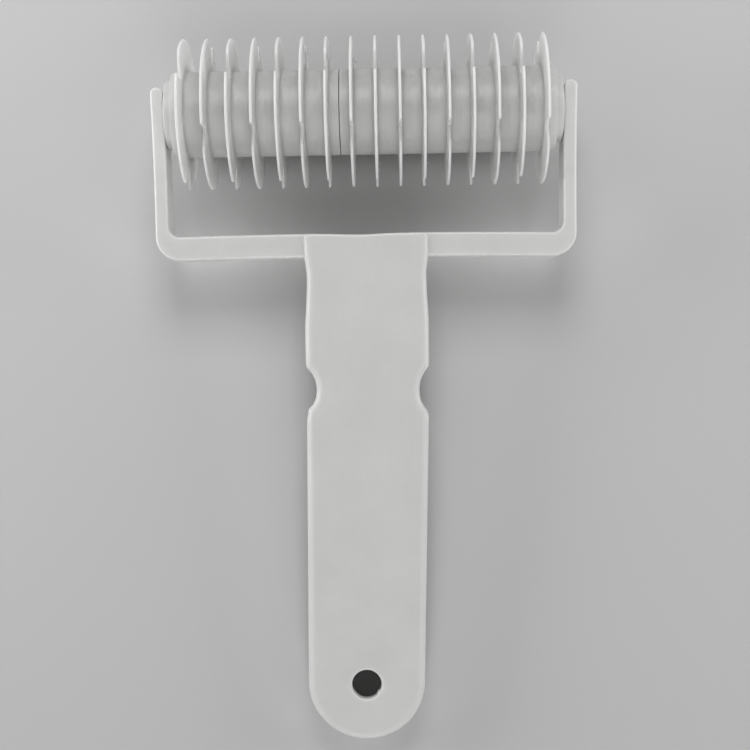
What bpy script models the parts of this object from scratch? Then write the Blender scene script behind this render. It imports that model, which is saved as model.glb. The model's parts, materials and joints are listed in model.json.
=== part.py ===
"""Lattice roller cutter for pastry.

A stack of identical notched blade wheels turns on a keyed shaft between the two
arms of a one-piece handle. The cutter is modelled as it lies on a table, resting
on its blades and on the free end of the handle. Metres, +Z up, +X along the
roller, +Y from the handle towards the roller.

The handle and its arms are drawn in their own frame: x along the roller, y equal
to minus the distance from the roller's axis, z square to the handle's top face.
That frame is then tipped until the handle's end meets the table.
"""

import math

import bmesh
import bpy
import numpy as np
from mathutils import Matrix, Vector

MM = 0.001

# Blade wheels
BLADE_COUNT = 16
BLADE_RADIUS = 21.0 * MM
BLADE_RIM_THICKNESS = 0.65 * MM
BLADE_ROOT_THICKNESS = 1.05 * MM
WHEEL_LENGTH = 6.57 * MM  # one wheel's own length along the shaft
WHEEL_SEAM = 0.10 * MM  # between two wheels that are pushed together
STACK_PLAY = 0.22 * MM  # the stack's free play, gathered at one seam
WHEELS_LEFT_OF_PLAY = 7
HUB_RADIUS = 11.9 * MM

# Notches that break each blade into three cutting arcs
NOTCH_COUNT = 3
NOTCH_WALL_ANGLE = math.radians(-19.6)  # of the steep wall, from straight up towards +Y
NOTCH_SWEEP = math.radians(21.5)  # the notch's share of the rim
NOTCH_WALL_LEAN = math.radians(7.4)
NOTCH_DEPTH = 7.0 * MM
NOTCH_FLOOR_RADIUS = 1.2 * MM

# Shaft and end collars
KEY_ACROSS_FLATS = 12.0 * MM
KEY_CLEARANCE = 0.20 * MM
JOURNAL_RADIUS = 3.0 * MM
JOURNAL_CLEARANCE = 0.08 * MM
JOURNAL_SHORT_OF_ARM = 0.30 * MM  # how far the journal's end lies inside the arm's outer face
COLLAR_RADIUS = 9.6 * MM
COLLAR_THICKNESS = 2.0 * MM
COLLAR_RUNNING_GAP = 0.35 * MM

# Yoke: two arms and the crossbar
ARM_THICKNESS = 3.75 * MM
ARM_BEYOND_AXIS = 7.35 * MM
ARM_SPRING = 0.75 * MM  # how far each arm's tip is sprung outwards
YOKE_DEPTH = 11.0 * MM
BAR_FROM_BLADES = 13.45 * MM  # from the blades' rim to the crossbar
BAR_WIDTH = 6.75 * MM
BAR_BOW = 0.42 * MM  # the middle of the crossbar lies this much nearer the roller
YOKE_CORNER_RADIUS = 6.8 * MM
YOKE_INNER_CORNER_RADIUS = 3.1 * MM
YOKE_EDGE_ROUND = 0.65 * MM

# Handle
HANDLE_LENGTH = 136.85 * MM  # from the crossbar's outer face to the free end
HANDLE_END_RADIUS = 16.45 * MM
HANDLE_NECK_HALF_WIDTH = 17.55 * MM
NECK_PINCH = 0.78 * MM
NECK_PINCH_REACH = 14.0 * MM
NECK_PINCH_FROM_BAR = 5.8 * MM
HANDLE_PROUD = 1.0 * MM  # the handle's top face stands this much above the yoke's
HANDLE_SHALLOW = 0.2 * MM  # its skirt ends this much short of the yoke's underside
HANDLE_SET_BACK = 0.15 * MM  # from the crossbar's roller face to the handle's front
HANDLE_EDGE_ROUND = 1.2 * MM
HANDLE_OFFSET = -0.25 * MM
GRIP_LEAN = -0.0205  # sideways drift of the grip for each metre past the finger notches
FINGER_NOTCH_FROM_BAR = 36.7 * MM
FINGER_NOTCH_RADIUS = 7.8 * MM
FINGER_NOTCH_DEPTH = 2.95 * MM
FINGER_NOTCH_BLEND = 2.5 * MM

# Hollow back of the handle
TOP_WALL = 3.0 * MM
SIDE_WALL = 2.4 * MM
RIB_THICKNESS = 1.8 * MM
RIB_RECESS = 1.2 * MM  # the ribs stop this far above the skirt's edge
RIB_SINK = 1.0 * MM  # how far a rib runs into the walls that it joins
RIBS_PAST_NOTCH = 3
HANG_CELL_LENGTH = 24.5 * MM  # the open cell round the hanging hole
HOLE_RADIUS = 4.2 * MM
HOLE_FROM_END = 15.95 * MM
HOLE_EDGE_ROUND = 1.1 * MM

# How finely round shapes are drawn
WHEEL_STEPS = 36
COLLAR_STEPS = 36
JOURNAL_SIDES = 24
HOLE_STEPS = 36
CUTTER_MARGIN = 3.0 * MM

# Sizes that follow from those above
WHEEL_PITCH = WHEEL_LENGTH + WHEEL_SEAM
STACK_HALF_LENGTH = (BLADE_COUNT * WHEEL_PITCH - WHEEL_SEAM + STACK_PLAY) / 2
COLLAR_INNER_X = STACK_HALF_LENGTH + WHEEL_SEAM
COLLAR_OUTER_X = COLLAR_INNER_X + COLLAR_THICKNESS
ARM_INNER_X = COLLAR_OUTER_X + COLLAR_RUNNING_GAP
YOKE_HALF_DEPTH = YOKE_DEPTH / 2
BAR_NEAR = BLADE_RADIUS + BAR_FROM_BLADES
BAR_FAR = BAR_NEAR + BAR_WIDTH
HANDLE_START = BAR_NEAR + HANDLE_SET_BACK
HANDLE_END = BAR_FAR + HANDLE_LENGTH
HANDLE_END_CENTRE = HANDLE_END - HANDLE_END_RADIUS
HANDLE_TOP = YOKE_HALF_DEPTH + HANDLE_PROUD
HANDLE_LOW = HANDLE_SHALLOW - YOKE_HALF_DEPTH
FINGER_NOTCH = BAR_FAR + FINGER_NOTCH_FROM_BAR
HOLE_DISTANCE = HANDLE_END - HOLE_FROM_END
SPRING_START = BAR_NEAR - YOKE_INNER_CORNER_RADIUS
REST_TILT = math.asin(BLADE_RADIUS / math.hypot(HANDLE_END, HANDLE_LOW)) - math.atan2(
    -HANDLE_LOW, HANDLE_END
)


def clear_scene():
    for old in list(bpy.data.objects):
        bpy.data.objects.remove(old, do_unlink=True)


def new_collection(name):
    made = bpy.data.collections.new(name)
    bpy.context.scene.collection.children.link(made)
    return made


def plastic(name, colour, roughness):
    """A plain moulded plastic."""
    made = bpy.data.materials.new(name)
    made.use_nodes = True
    shader = made.node_tree.nodes["Principled BSDF"]
    shader.inputs["Base Color"].default_value = (*colour, 1.0)
    shader.inputs["Roughness"].default_value = roughness
    shader.inputs["Metallic"].default_value = 0.0
    return made


def arc(centre, radius, start, end, count):
    """Points on a circle from one angle to another, both in degrees, ends included."""
    return [
        (centre[0] + radius * math.cos(angle), centre[1] + radius * math.sin(angle))
        for angle in np.radians(np.linspace(start, end, count))
    ]


def rounded_corner(before, corner, after, radius, count):
    """The arc that rounds the corner between two straight edges."""
    before, corner, after = Vector(before), Vector(corner), Vector(after)
    to_before = (before - corner).normalized()
    to_after = (after - corner).normalized()
    half_angle = to_before.angle(to_after) / 2
    centre = corner + (to_before + to_after).normalized() * (radius / math.sin(half_angle))
    start = corner + to_before * (radius / math.tan(half_angle))
    end = corner + to_after * (radius / math.tan(half_angle))
    first = start - centre
    turn = first.angle_signed(end - centre)
    return [
        tuple(centre + Matrix.Rotation(-turn * step, 2) @ first)
        for step in np.linspace(0, 1, count)
    ]


def mesh_of(thing):
    """The object's evaluated shape as a mesh of its own."""
    bpy.context.view_layer.update()
    graph = bpy.context.evaluated_depsgraph_get()
    return bpy.data.meshes.new_from_object(thing.evaluated_get(graph))


def add_object(name, mesh, into):
    made = bpy.data.objects.new(name, mesh)
    into.objects.link(made)
    return made


def edit(mesh, change):
    """Runs a change on the mesh as a bmesh and writes it back."""
    work = bmesh.new()
    work.from_mesh(mesh)
    change(work)
    bmesh.ops.recalc_face_normals(work, faces=work.faces)
    work.to_mesh(mesh)
    work.free()
    return mesh


def round_top_edges(work, radius, segments):
    """Rounds the edges where the flat top meets the sides."""
    rim = [
        edge
        for edge in work.edges
        if len(edge.link_faces) == 2
        and sorted(round(face.normal.z) for face in edge.link_faces) == [0, 1]
    ]
    bmesh.ops.bevel(
        work, geom=rim, offset=radius, segments=segments, profile=0.5, affect="EDGES"
    )


def flat_solid(name, outline, low, high, top_round=0.0, segments=3):
    """The outline filled and extruded from one height to another, as a mesh."""
    curve = bpy.data.curves.new(name, "CURVE")
    curve.dimensions = "2D"
    curve.fill_mode = "BOTH"
    curve.extrude = (high - low) / 2
    spline = curve.splines.new("POLY")
    spline.points.add(len(outline) - 1)
    for point, (x, y) in zip(spline.points, outline):
        point.co = (x, y, 0.0, 1.0)
    spline.use_cyclic_u = True
    guide = add_object(name + "_outline", curve, bpy.context.scene.collection)
    mesh = mesh_of(guide)
    mesh.name = name
    bpy.data.objects.remove(guide, do_unlink=True)

    def finish(work):
        bmesh.ops.remove_doubles(work, verts=work.verts, dist=1e-6)
        bmesh.ops.dissolve_limit(
            work, angle_limit=math.radians(0.3), verts=work.verts, edges=work.edges
        )
        bmesh.ops.recalc_face_normals(work, faces=work.faces)
        bmesh.ops.translate(work, verts=work.verts, vec=(0.0, 0.0, (low + high) / 2))
        if top_round:
            round_top_edges(work, top_round, segments)

    return edit(mesh, finish)


def turned_solid(name, profile, steps):
    """A profile of (radius, height) points, running down the outer side, turned about Z."""
    line = bpy.data.meshes.new(name + "_profile")
    line.from_pydata(
        [(radius, 0.0, height) for radius, height in profile],
        [(first, first + 1) for first in range(len(profile) - 1)],
        [],
    )
    guide = add_object(name + "_profile", line, bpy.context.scene.collection)
    screw = guide.modifiers.new("turn", "SCREW")
    screw.axis = "Z"
    screw.angle = math.tau
    screw.steps = steps
    screw.render_steps = steps
    screw.use_merge_vertices = True
    screw.merge_threshold = 1e-6
    mesh = mesh_of(guide)
    mesh.name = name
    bpy.data.objects.remove(guide, do_unlink=True)
    return edit(mesh, lambda work: bmesh.ops.remove_doubles(work, verts=work.verts, dist=1e-7))


def prism(name, radius, half_length, sides, turn=0.0):
    """A closed prism about Z with its corners on the given radius."""

    def build(work):
        bmesh.ops.create_cone(
            work,
            cap_ends=True,
            cap_tris=False,
            segments=sides,
            radius1=radius,
            radius2=radius,
            depth=2 * half_length,
            matrix=Matrix.Rotation(turn, 4, "Z"),
        )

    return edit(bpy.data.meshes.new(name), build)


def block(work, low, high):
    """Adds a box between two corners."""
    size = [b - a for a, b in zip(low, high)]
    middle = [(a + b) / 2 for a, b in zip(low, high)]
    place = Matrix.Translation(middle) @ Matrix.Diagonal((*size, 1.0))
    bmesh.ops.create_cube(work, size=1.0, matrix=place)


def boolean(target, tool, operation):
    """Adds an exact Boolean to the target and hides the shape that it uses."""
    tool.hide_render = True
    tool.display_type = "WIRE"
    modifier = target.modifiers.new(tool.name, "BOOLEAN")
    modifier.operation = operation
    modifier.solver = "EXACT"
    modifier.object = tool


def onto_roller_axis(mesh):
    """Turns a mesh made about Z so that its axis is X and its own +X points straight up."""
    mesh.transform(Matrix(((0, 0, -1, 0), (0, 1, 0, 0), (1, 0, 0, 0), (0, 0, 0, 1))))
    return mesh


def smooth(mesh, sharp_above=35):
    mesh.shade_smooth()
    mesh.set_sharp_from_angle(angle=math.radians(sharp_above))


def polar(radius, angle):
    return (radius * math.cos(angle), radius * math.sin(angle))


# Blade wheels


def notch_outline():
    """A steep wall, a rounded floor and a long ramp back up to the rim."""
    floor = polar(BLADE_RADIUS - NOTCH_DEPTH, NOTCH_WALL_ANGLE - NOTCH_WALL_LEAN)
    wall_top = polar(BLADE_RADIUS, NOTCH_WALL_ANGLE)
    ramp_top = polar(BLADE_RADIUS, NOTCH_WALL_ANGLE - NOTCH_SWEEP)

    def past(inner, outer):
        inner, outer = Vector(inner), Vector(outer)
        return tuple(outer + (outer - inner).normalized() * CUTTER_MARGIN)

    corner = rounded_corner(ramp_top, floor, wall_top, NOTCH_FLOOR_RADIUS, 5)
    return [past(floor, ramp_top), *corner, past(floor, wall_top)]


def make_wheel_mesh(cutters):
    """A hub with one thin tapering blade at its middle, a keyed bore and the notches."""
    half_length = WHEEL_LENGTH / 2
    half_root = BLADE_ROOT_THICKNESS / 2
    half_rim = BLADE_RIM_THICKNESS / 2
    profile = [
        (0.0, half_length),
        (HUB_RADIUS, half_length),
        (HUB_RADIUS, half_root),
        (BLADE_RADIUS, half_rim),
        (BLADE_RADIUS, -half_rim),
        (HUB_RADIUS, -half_root),
        (HUB_RADIUS, -half_length),
        (0.0, -half_length),
    ]
    blank = add_object("wheel_blank", turned_solid("wheel_blank", profile, WHEEL_STEPS), cutters)
    key_radius = (KEY_ACROSS_FLATS / 2 + KEY_CLEARANCE) / math.cos(math.pi / 6)
    bore = prism("wheel_bore", key_radius, half_length + CUTTER_MARGIN, 6)
    boolean(blank, add_object("wheel_bore", bore, cutters), "DIFFERENCE")
    for index in range(NOTCH_COUNT):
        name = f"blade_notch_{index + 1}"
        notch = flat_solid(name, notch_outline(), -BLADE_ROOT_THICKNESS, BLADE_ROOT_THICKNESS)
        notch.transform(Matrix.Rotation(index * math.tau / NOTCH_COUNT, 4, "Z"))
        boolean(blank, add_object(name, notch, cutters), "DIFFERENCE")
    mesh = onto_roller_axis(mesh_of(blank))
    mesh.name = "blade_wheel"
    bpy.data.objects.remove(blank, do_unlink=True)
    smooth(mesh)
    return mesh


def wheel_position(index):
    """The wheel's middle along the roller, with the play gathered at one seam."""
    middle = (index - (BLADE_COUNT - 1) / 2) * WHEEL_PITCH
    side = -0.5 if index < WHEELS_LEFT_OF_PLAY else 0.5
    return middle + side * STACK_PLAY


def make_wheels(parts, cutters, axis, finish):
    """One wheel used sixteen times; the first and every second one after it sit back to front."""
    mesh = make_wheel_mesh(cutters)
    mesh.materials.append(finish)
    for index in range(BLADE_COUNT):
        wheel = add_object(f"blade_wheel_{index + 1:02d}", mesh, parts)
        wheel.parent = axis
        wheel.location = (wheel_position(index), 0.0, 0.0)
        wheel.rotation_euler.z = math.pi * (1 - index % 2)


# Shaft and end collars


def make_shaft(parts, cutters, axis, finish):
    """A six-sided bar as long as the stack and its collars, with a round journal at each end."""
    key = prism("shaft_key", KEY_ACROSS_FLATS / 2 / math.cos(math.pi / 6), COLLAR_OUTER_X, 6)
    shaft = add_object("roller_shaft", onto_roller_axis(key), parts)
    arm_outer = ARM_INNER_X + ARM_THICKNESS
    journals = prism("journals", JOURNAL_RADIUS, arm_outer - JOURNAL_SHORT_OF_ARM, JOURNAL_SIDES)
    boolean(shaft, add_object("journals", onto_roller_axis(journals), cutters), "UNION")
    cutters.objects["journals"].parent = axis
    shaft.data.materials.append(finish)
    shaft.parent = axis


def make_collars(parts, cutters, axis, finish):
    """The two plain rings that close the stack and run against the arms."""
    half_thickness = COLLAR_THICKNESS / 2
    ring = add_object(
        "collar_blank", prism("collar", COLLAR_RADIUS, half_thickness, COLLAR_STEPS), cutters
    )
    key_radius = (KEY_ACROSS_FLATS / 2 + KEY_CLEARANCE) / math.cos(math.pi / 6)
    bore = prism("collar_bore", key_radius, half_thickness + CUTTER_MARGIN, 6)
    boolean(ring, add_object("collar_bore", bore, cutters), "DIFFERENCE")
    mesh = onto_roller_axis(mesh_of(ring))
    mesh.name = "end_collar"
    bpy.data.objects.remove(ring, do_unlink=True)
    smooth(mesh)
    mesh.materials.append(finish)
    for name, side in (("end_collar_left", -1), ("end_collar_right", 1)):
        collar = add_object(name, mesh, parts)
        collar.parent = axis
        collar.location = (side * (COLLAR_INNER_X + half_thickness), 0.0, 0.0)


# Yoke


def arm_spread(distance):
    """How far an arm stands out at a distance from the roller's axis, as a bent beam does."""
    reach = SPRING_START + ARM_BEYOND_AXIS
    share = max(0.0, SPRING_START - distance) / reach
    return ARM_SPRING * share**2


def yoke_outline():
    """The U of the two arms and the crossbar, one half computed and then mirrored."""
    root_inner = ARM_INNER_X - arm_spread(0.0)
    stations = np.linspace(-ARM_BEYOND_AXIS + ARM_THICKNESS / 2, SPRING_START, 7)
    inner = [(root_inner + arm_spread(d), -d) for d in stations]
    outer = [(x + ARM_THICKNESS, y) for x, y in inner]
    tip_centre = ((inner[0][0] + outer[0][0]) / 2, inner[0][1])
    tip = arc(tip_centre, ARM_THICKNESS / 2, 0, 180, 9)
    r_in, r_out = YOKE_INNER_CORNER_RADIUS, YOKE_CORNER_RADIUS
    inner_corner = arc((root_inner - r_in, -(BAR_NEAR + BAR_BOW - r_in)), r_in, 0, -90, 7)
    outer_x = root_inner + ARM_THICKNESS
    outer_corner = arc((outer_x - r_out, -(BAR_FAR + BAR_BOW - r_out)), r_out, -90, 0, 10)
    bar_span = root_inner - r_in
    across = np.linspace(1.0, 0.0, 6)[1:]
    near = [(bar_span * t, -(BAR_NEAR + BAR_BOW * t**2)) for t in across]
    far = [(bar_span * t, -(BAR_FAR + BAR_BOW * t**2)) for t in across[::-1]]
    half = [*far, *outer_corner, *outer[::-1][1:-1], *tip, *inner[1:-1], *inner_corner, *near]
    # the points at x = 0 belong to both halves
    return half + [(-x, y) for x, y in half[-2:0:-1]]


# Handle


def grip_centre(distance):
    """The handle's middle line, which drifts sideways past the finger notches."""
    return HANDLE_OFFSET + GRIP_LEAN * max(0.0, distance - (FINGER_NOTCH - FINGER_NOTCH_RADIUS))


def side_half_width(distance):
    """Half the handle's width before the finger notches are taken out."""
    share = (distance - BAR_FAR) / (HANDLE_END_CENTRE - BAR_FAR)
    width = HANDLE_NECK_HALF_WIDTH + (HANDLE_END_RADIUS - HANDLE_NECK_HALF_WIDTH) * share
    pinch = (distance - BAR_FAR - NECK_PINCH_FROM_BAR) / NECK_PINCH_REACH
    if abs(pinch) < 1.0:
        width -= NECK_PINCH * math.cos(pinch * math.pi / 2) ** 2
    return width


def finger_notch_edge(inset, count):
    """Blend, hollow and blend of one finger notch, as (half width, distance) points."""
    side = side_half_width(FINGER_NOTCH) - inset
    hollow = FINGER_NOTCH_RADIUS + inset
    blend = max(FINGER_NOTCH_BLEND - inset, 0.2 * MM)
    centre = side + inset - FINGER_NOTCH_DEPTH + FINGER_NOTCH_RADIUS
    reach = math.sqrt((hollow + blend) ** 2 - (centre - side + blend) ** 2)
    turn = math.degrees(math.atan2(reach, centre - side + blend))
    points = []
    points += [
        (x, FINGER_NOTCH - reach + y) for x, y in arc((side - blend, 0.0), blend, 0, turn, count)
    ]
    points += [
        (centre - x, FINGER_NOTCH + y) for x, y in arc((0.0, 0.0), hollow, -turn, turn, 2 * count)
    ][1:-1]
    points += [
        (x, FINGER_NOTCH + reach + y) for x, y in arc((side - blend, 0.0), blend, -turn, 0, count)
    ]
    return points


def handle_outline(start, inset=0.0, count=4):
    """The handle seen square on, or an outline that lies inside it by the inset."""
    notch = finger_notch_edge(inset, count)
    before = [(side_half_width(d) - inset, d) for d in np.linspace(start, notch[0][1], 9)[:-1]]
    after = [
        (side_half_width(d) - inset, d) for d in np.linspace(notch[-1][1], HANDLE_END_CENTRE, 6)[1:]
    ]
    end_radius = HANDLE_END_RADIUS - inset
    end = arc((0.0, HANDLE_END_CENTRE), end_radius, 0, 180, 25)[1:-1]
    edge = [*before, *notch, *after]
    right = [(grip_centre(d) + half, -d) for half, d in edge]
    left = [(grip_centre(d) - half, -d) for half, d in edge[::-1]]
    cap = [(grip_centre(HANDLE_END_CENTRE) + x, -d) for x, d in end]
    return right + cap + left


def rib_distances():
    """One rib beside each end of the finger notches, then even ribs up to the hanging cell."""
    half_notch = FINGER_NOTCH_RADIUS
    last = HANDLE_END - SIDE_WALL - HANG_CELL_LENGTH
    even = np.linspace(FINGER_NOTCH + half_notch, last, RIBS_PAST_NOTCH + 1)
    return [FINGER_NOTCH - half_notch, *even]


def make_ribs(cutters):
    """Cross ribs that stiffen the hollow back."""
    low = HANDLE_LOW + RIB_RECESS
    high = HANDLE_TOP - TOP_WALL + RIB_SINK
    half = RIB_THICKNESS / 2

    def build(work):
        for distance in rib_distances():
            reach = min(side_half_width(d) for d in (distance - half, distance + half))
            reach -= SIDE_WALL - RIB_SINK
            if abs(distance - FINGER_NOTCH) < FINGER_NOTCH_RADIUS + half:
                reach -= FINGER_NOTCH_BLEND - RIB_SINK
            middle = grip_centre(distance)
            corner = (middle - reach, -distance - half, low)
            block(work, corner, (middle + reach, half - distance, high))

    return add_object("cross_ribs", edit(bpy.data.meshes.new("cross_ribs"), build), cutters)


def make_hole_cutter(cutters):
    """The hanging hole, opened out by a rounded edge at the handle's top face."""
    high = HANDLE_TOP + CUTTER_MARGIN
    edge = [
        (
            HOLE_RADIUS + HOLE_EDGE_ROUND * (1 - math.cos(angle)),
            HANDLE_TOP - HOLE_EDGE_ROUND * (1 - math.sin(angle)),
        )
        for angle in np.linspace(math.pi / 2, 0, 4)
    ]
    profile = [(0.0, high), (HOLE_RADIUS + HOLE_EDGE_ROUND, high), *edge]
    profile += [(HOLE_RADIUS, HANDLE_LOW), (0.0, HANDLE_LOW)]
    hole = add_object("hang_hole", turned_solid("hang_hole", profile, HOLE_STEPS), cutters)
    hole.location = (grip_centre(HOLE_DISTANCE), -HOLE_DISTANCE, 0.0)
    return hole


def make_journal_bores(cutters):
    """Round holes through both arms, whose flats clear the journals by the running clearance."""
    radius = (JOURNAL_RADIUS + JOURNAL_CLEARANCE) / math.cos(math.pi / JOURNAL_SIDES)
    half_length = ARM_INNER_X + ARM_THICKNESS + CUTTER_MARGIN
    mesh = onto_roller_axis(prism("journal_bores", radius, half_length, JOURNAL_SIDES))
    return add_object("journal_bores", mesh, cutters)


def make_handle_frame(parts, cutters, frame, finish):
    """The one moulding of arms, crossbar and handle."""
    yoke = flat_solid(
        "handle_frame", yoke_outline(), -YOKE_HALF_DEPTH, YOKE_HALF_DEPTH, YOKE_EDGE_ROUND
    )
    body = add_object("handle_frame", yoke, parts)
    handle = flat_solid(
        "handle_blank", handle_outline(HANDLE_START), HANDLE_LOW, HANDLE_TOP, HANDLE_EDGE_ROUND
    )
    hollow = flat_solid(
        "handle_hollow",
        handle_outline(BAR_FAR + SIDE_WALL, SIDE_WALL),
        HANDLE_LOW - CUTTER_MARGIN,
        HANDLE_TOP - TOP_WALL,
    )
    steps = (
        (add_object("handle_blank", handle, cutters), "UNION"),
        (add_object("handle_hollow", hollow, cutters), "DIFFERENCE"),
        (make_ribs(cutters), "UNION"),
        (make_hole_cutter(cutters), "DIFFERENCE"),
        (make_journal_bores(cutters), "DIFFERENCE"),
    )
    for tool, operation in steps:
        tool.parent = frame
        boolean(body, tool, operation)
    body.data.materials.append(finish)
    body.parent = frame
    smooth(body.data)


def stand_on_origin(root, parts):
    """Moves the whole cutter so that the middle of its underside is the world's origin."""
    bpy.context.view_layer.update()
    graph = bpy.context.evaluated_depsgraph_get()
    corners = []
    for piece in parts.objects:
        if piece.type == "MESH":
            solid = piece.evaluated_get(graph)
            corners += [solid.matrix_world @ vertex.co for vertex in solid.data.vertices]
    corners = np.array(corners)
    low, high = corners.min(axis=0), corners.max(axis=0)
    root.location = (-(low[0] + high[0]) / 2, -(low[1] + high[1]) / 2, -low[2])


def main():
    clear_scene()
    parts = new_collection("lattice_roller_cutter")
    cutters = new_collection("cutters")
    frame_plastic = plastic("frame_plastic", (0.66, 0.66, 0.65), 0.42)
    wheel_plastic = plastic("wheel_plastic", (0.60, 0.60, 0.59), 0.46)

    root = add_object("cutter_root", None, parts)
    axis = add_object("roller_axis", None, parts)
    axis.parent = root
    frame = add_object("handle_rest", None, parts)
    frame.parent = root
    frame.rotation_euler.x = REST_TILT

    make_wheels(parts, cutters, axis, wheel_plastic)
    make_shaft(parts, cutters, axis, wheel_plastic)
    make_collars(parts, cutters, axis, wheel_plastic)
    make_handle_frame(parts, cutters, frame, frame_plastic)
    stand_on_origin(root, parts)


main()
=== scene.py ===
"""The looks of the lattice roller cutter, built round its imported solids.

Every piece is worked out in the tool's own frame, x along the roller, y equal to
minus the distance from the roller's axis and z square to the handle's top face,
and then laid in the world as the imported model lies. Metres throughout.
"""

import json
import math

import bmesh
import bpy
import numpy as np
from mathutils import Matrix, Vector


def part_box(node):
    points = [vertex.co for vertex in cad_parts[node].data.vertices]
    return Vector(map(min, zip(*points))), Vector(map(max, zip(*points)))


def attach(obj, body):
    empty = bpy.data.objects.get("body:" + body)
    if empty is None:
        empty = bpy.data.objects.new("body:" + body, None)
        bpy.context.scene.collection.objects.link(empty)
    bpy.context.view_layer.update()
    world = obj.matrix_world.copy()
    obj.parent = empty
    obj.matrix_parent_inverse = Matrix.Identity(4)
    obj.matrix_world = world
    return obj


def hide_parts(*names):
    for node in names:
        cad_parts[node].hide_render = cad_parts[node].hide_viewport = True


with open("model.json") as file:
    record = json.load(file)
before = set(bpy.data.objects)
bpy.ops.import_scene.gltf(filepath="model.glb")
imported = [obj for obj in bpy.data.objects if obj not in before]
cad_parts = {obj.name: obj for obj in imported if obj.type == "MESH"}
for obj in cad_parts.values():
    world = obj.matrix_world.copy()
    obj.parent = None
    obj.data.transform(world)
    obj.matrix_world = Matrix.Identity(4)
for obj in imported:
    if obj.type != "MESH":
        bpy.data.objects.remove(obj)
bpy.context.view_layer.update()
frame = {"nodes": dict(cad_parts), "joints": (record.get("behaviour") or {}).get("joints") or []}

MM = 0.001

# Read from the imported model
WHEEL_NODES = sorted(name for name in frame["nodes"] if name.startswith("blade_wheel_"))
ROLLER_AXIS = np.array(next(j["pos_m"] for j in frame["joints"] if j["name"] == "roller_spin"))
BLADE_RADIUS = (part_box(WHEEL_NODES[0])[1][2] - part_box(WHEEL_NODES[0])[0][2]) / 2
COLLAR_OUTER_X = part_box("end_collar_right")[1][0]
COLLAR_INNER_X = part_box("end_collar_right")[0][0]
SHAFT_END_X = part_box("roller_shaft")[1][0]
HANDLE_END = 178.05 * MM  # from the roller's axis to the free end, along the handle
HANDLE_LOW = -5.3 * MM
REST_TILT = math.asin(BLADE_RADIUS / math.hypot(HANDLE_END, HANDLE_LOW)) - math.atan2(
    -HANDLE_LOW, HANDLE_END
)

# Blade wheels
RIM_THICKNESS = 0.65 * MM
ROOT_THICKNESS = 1.1 * MM
RIM_ROUND = 0.28 * MM
NOTCH_ROUND = 0.10 * MM  # the edges' rounding inside a notch
ROOT_FILLET = 0.55 * MM
HUB_RADIUS = 11.9 * MM
HUB_STEP = 0.015 * MM  # how much the hubs differ from wheel to wheel
HUB_EDGE_ROUND = 0.03 * MM
HUB_REACH = 0.05 * MM  # how far a hub's end closes its half of the seam
KEY_ACROSS_FLATS = 12.4 * MM
NOTCH_COUNT = 3
NOTCH_WALL_ANGLE = math.radians(-19.6)
NOTCH_SWEEP = math.radians(21.5)
NOTCH_WALL_LEAN = math.radians(7.4)
NOTCH_DEPTH = 7.0 * MM
NOTCH_FLOOR_RADIUS = 1.2 * MM
NOTCH_LIP_RADIUS = 0.6 * MM
NOTCH_RAMP_RADIUS = 3.5 * MM

# Flakes of flash on notch walls: for a wheel, (radius, height over the blade's side) in millimetres
FLASH_THICKNESS = 0.16 * MM
FLASH_EDGE_ROUND = 0.03 * MM
FLASH_FOOT = -0.2  # height of a flake's foot, inside the blade
FLASHES = {
    6: [(16.6, 0.05), (17.3, 0.5), (18.2, 0.85), (19.0, 1.25), (19.35, 1.15), (19.1, 0.7), (18.6, 0.2)],
    8: [(14.4, 0.3), (14.5, 0.6), (14.35, 1.02), (14.6, 1.1), (15.0, 0.85), (15.5, 0.6), (16.0, 0.4),
        (16.7, 0.1)],
    9: [(14.1, 0.1), (14.5, 0.38), (14.85, 0.3), (15.2, 0.08), (15.7, 0.06), (16.0, 0.2), (16.4, 0.38),
        (16.8, 0.3)],
    10: [(17.5, 0.1), (18.1, 0.4), (18.8, 0.78), (19.0, 0.66), (18.75, 0.35), (18.9, 0.2)],
    11: [(14.35, 0.15), (14.5, 0.5), (14.65, 0.75), (14.85, 0.6), (14.95, 0.25), (15.3, 0.1), (15.7, 0.32),
         (16.1, 0.2), (16.5, 0.42), (17.0, 0.25), (17.3, 0.35), (17.7, 0.08)],
}

# Gate marks on the hubs: for a wheel, the place along it in metres and the angle from the top
GATE_MARKS = {1: (-0.85 * MM, math.radians(-23.8)), 5: (1.76 * MM, math.radians(39.7))}
GATE_BALL = 1.2 * MM
GATE_DEPTH = 0.14 * MM

# Shaft and collars
COLLAR_RADIUS = 9.6 * MM
COLLAR_EDGE_ROUND = 0.35 * MM
JOURNAL_RADIUS = 3.0 * MM
JOURNAL_CHAMFER = 0.4 * MM
SHAFT_ACROSS_FLATS = 12.0 * MM
BORE_RADIUS = 3.1 * MM
BORE_LEAD_IN = 0.6 * MM  # how much wider the bore ends, outside the arm

# Yoke
ARM_INNER_X = 55.87 * MM
ARM_THICKNESS = 3.75 * MM
ARM_BEYOND_AXIS = 7.35 * MM
ARM_SPRING = 0.75 * MM
ARM_ROOT = 31.35 * MM  # from the roller's axis to where an arm begins to bend
YOKE_HALF_DEPTH = 5.5 * MM
BAR_NEAR = 34.27 * MM
BAR_FAR = 41.05 * MM
BAR_BOW = 0.5 * MM
BAR_BOW_REACH = 52 * MM  # from the middle to where the bow has its full height
HANDLE_BOW_REACH = 50 * MM
BAR_SKEW = 0.0043  # the crossbar stands this far from square to the arms
SKEW_START = 20 * MM
SKEW_RUN = 12 * MM
BAR_SINK = 0.42 * MM  # the mark where the thick joint with the handle shrank
BAR_SINK_PLACE = -2.0 * MM
BAR_SINK_WIDTH = 8.0 * MM
YOKE_CORNER_RADIUS = 6.8 * MM
YOKE_INNER_CORNER_RADIUS = 3.1 * MM
YOKE_EDGE_ROUND = 0.65 * MM
YOKE_LOW_ROUND = 0.3 * MM
DRAFT = 0.08 * MM

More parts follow.
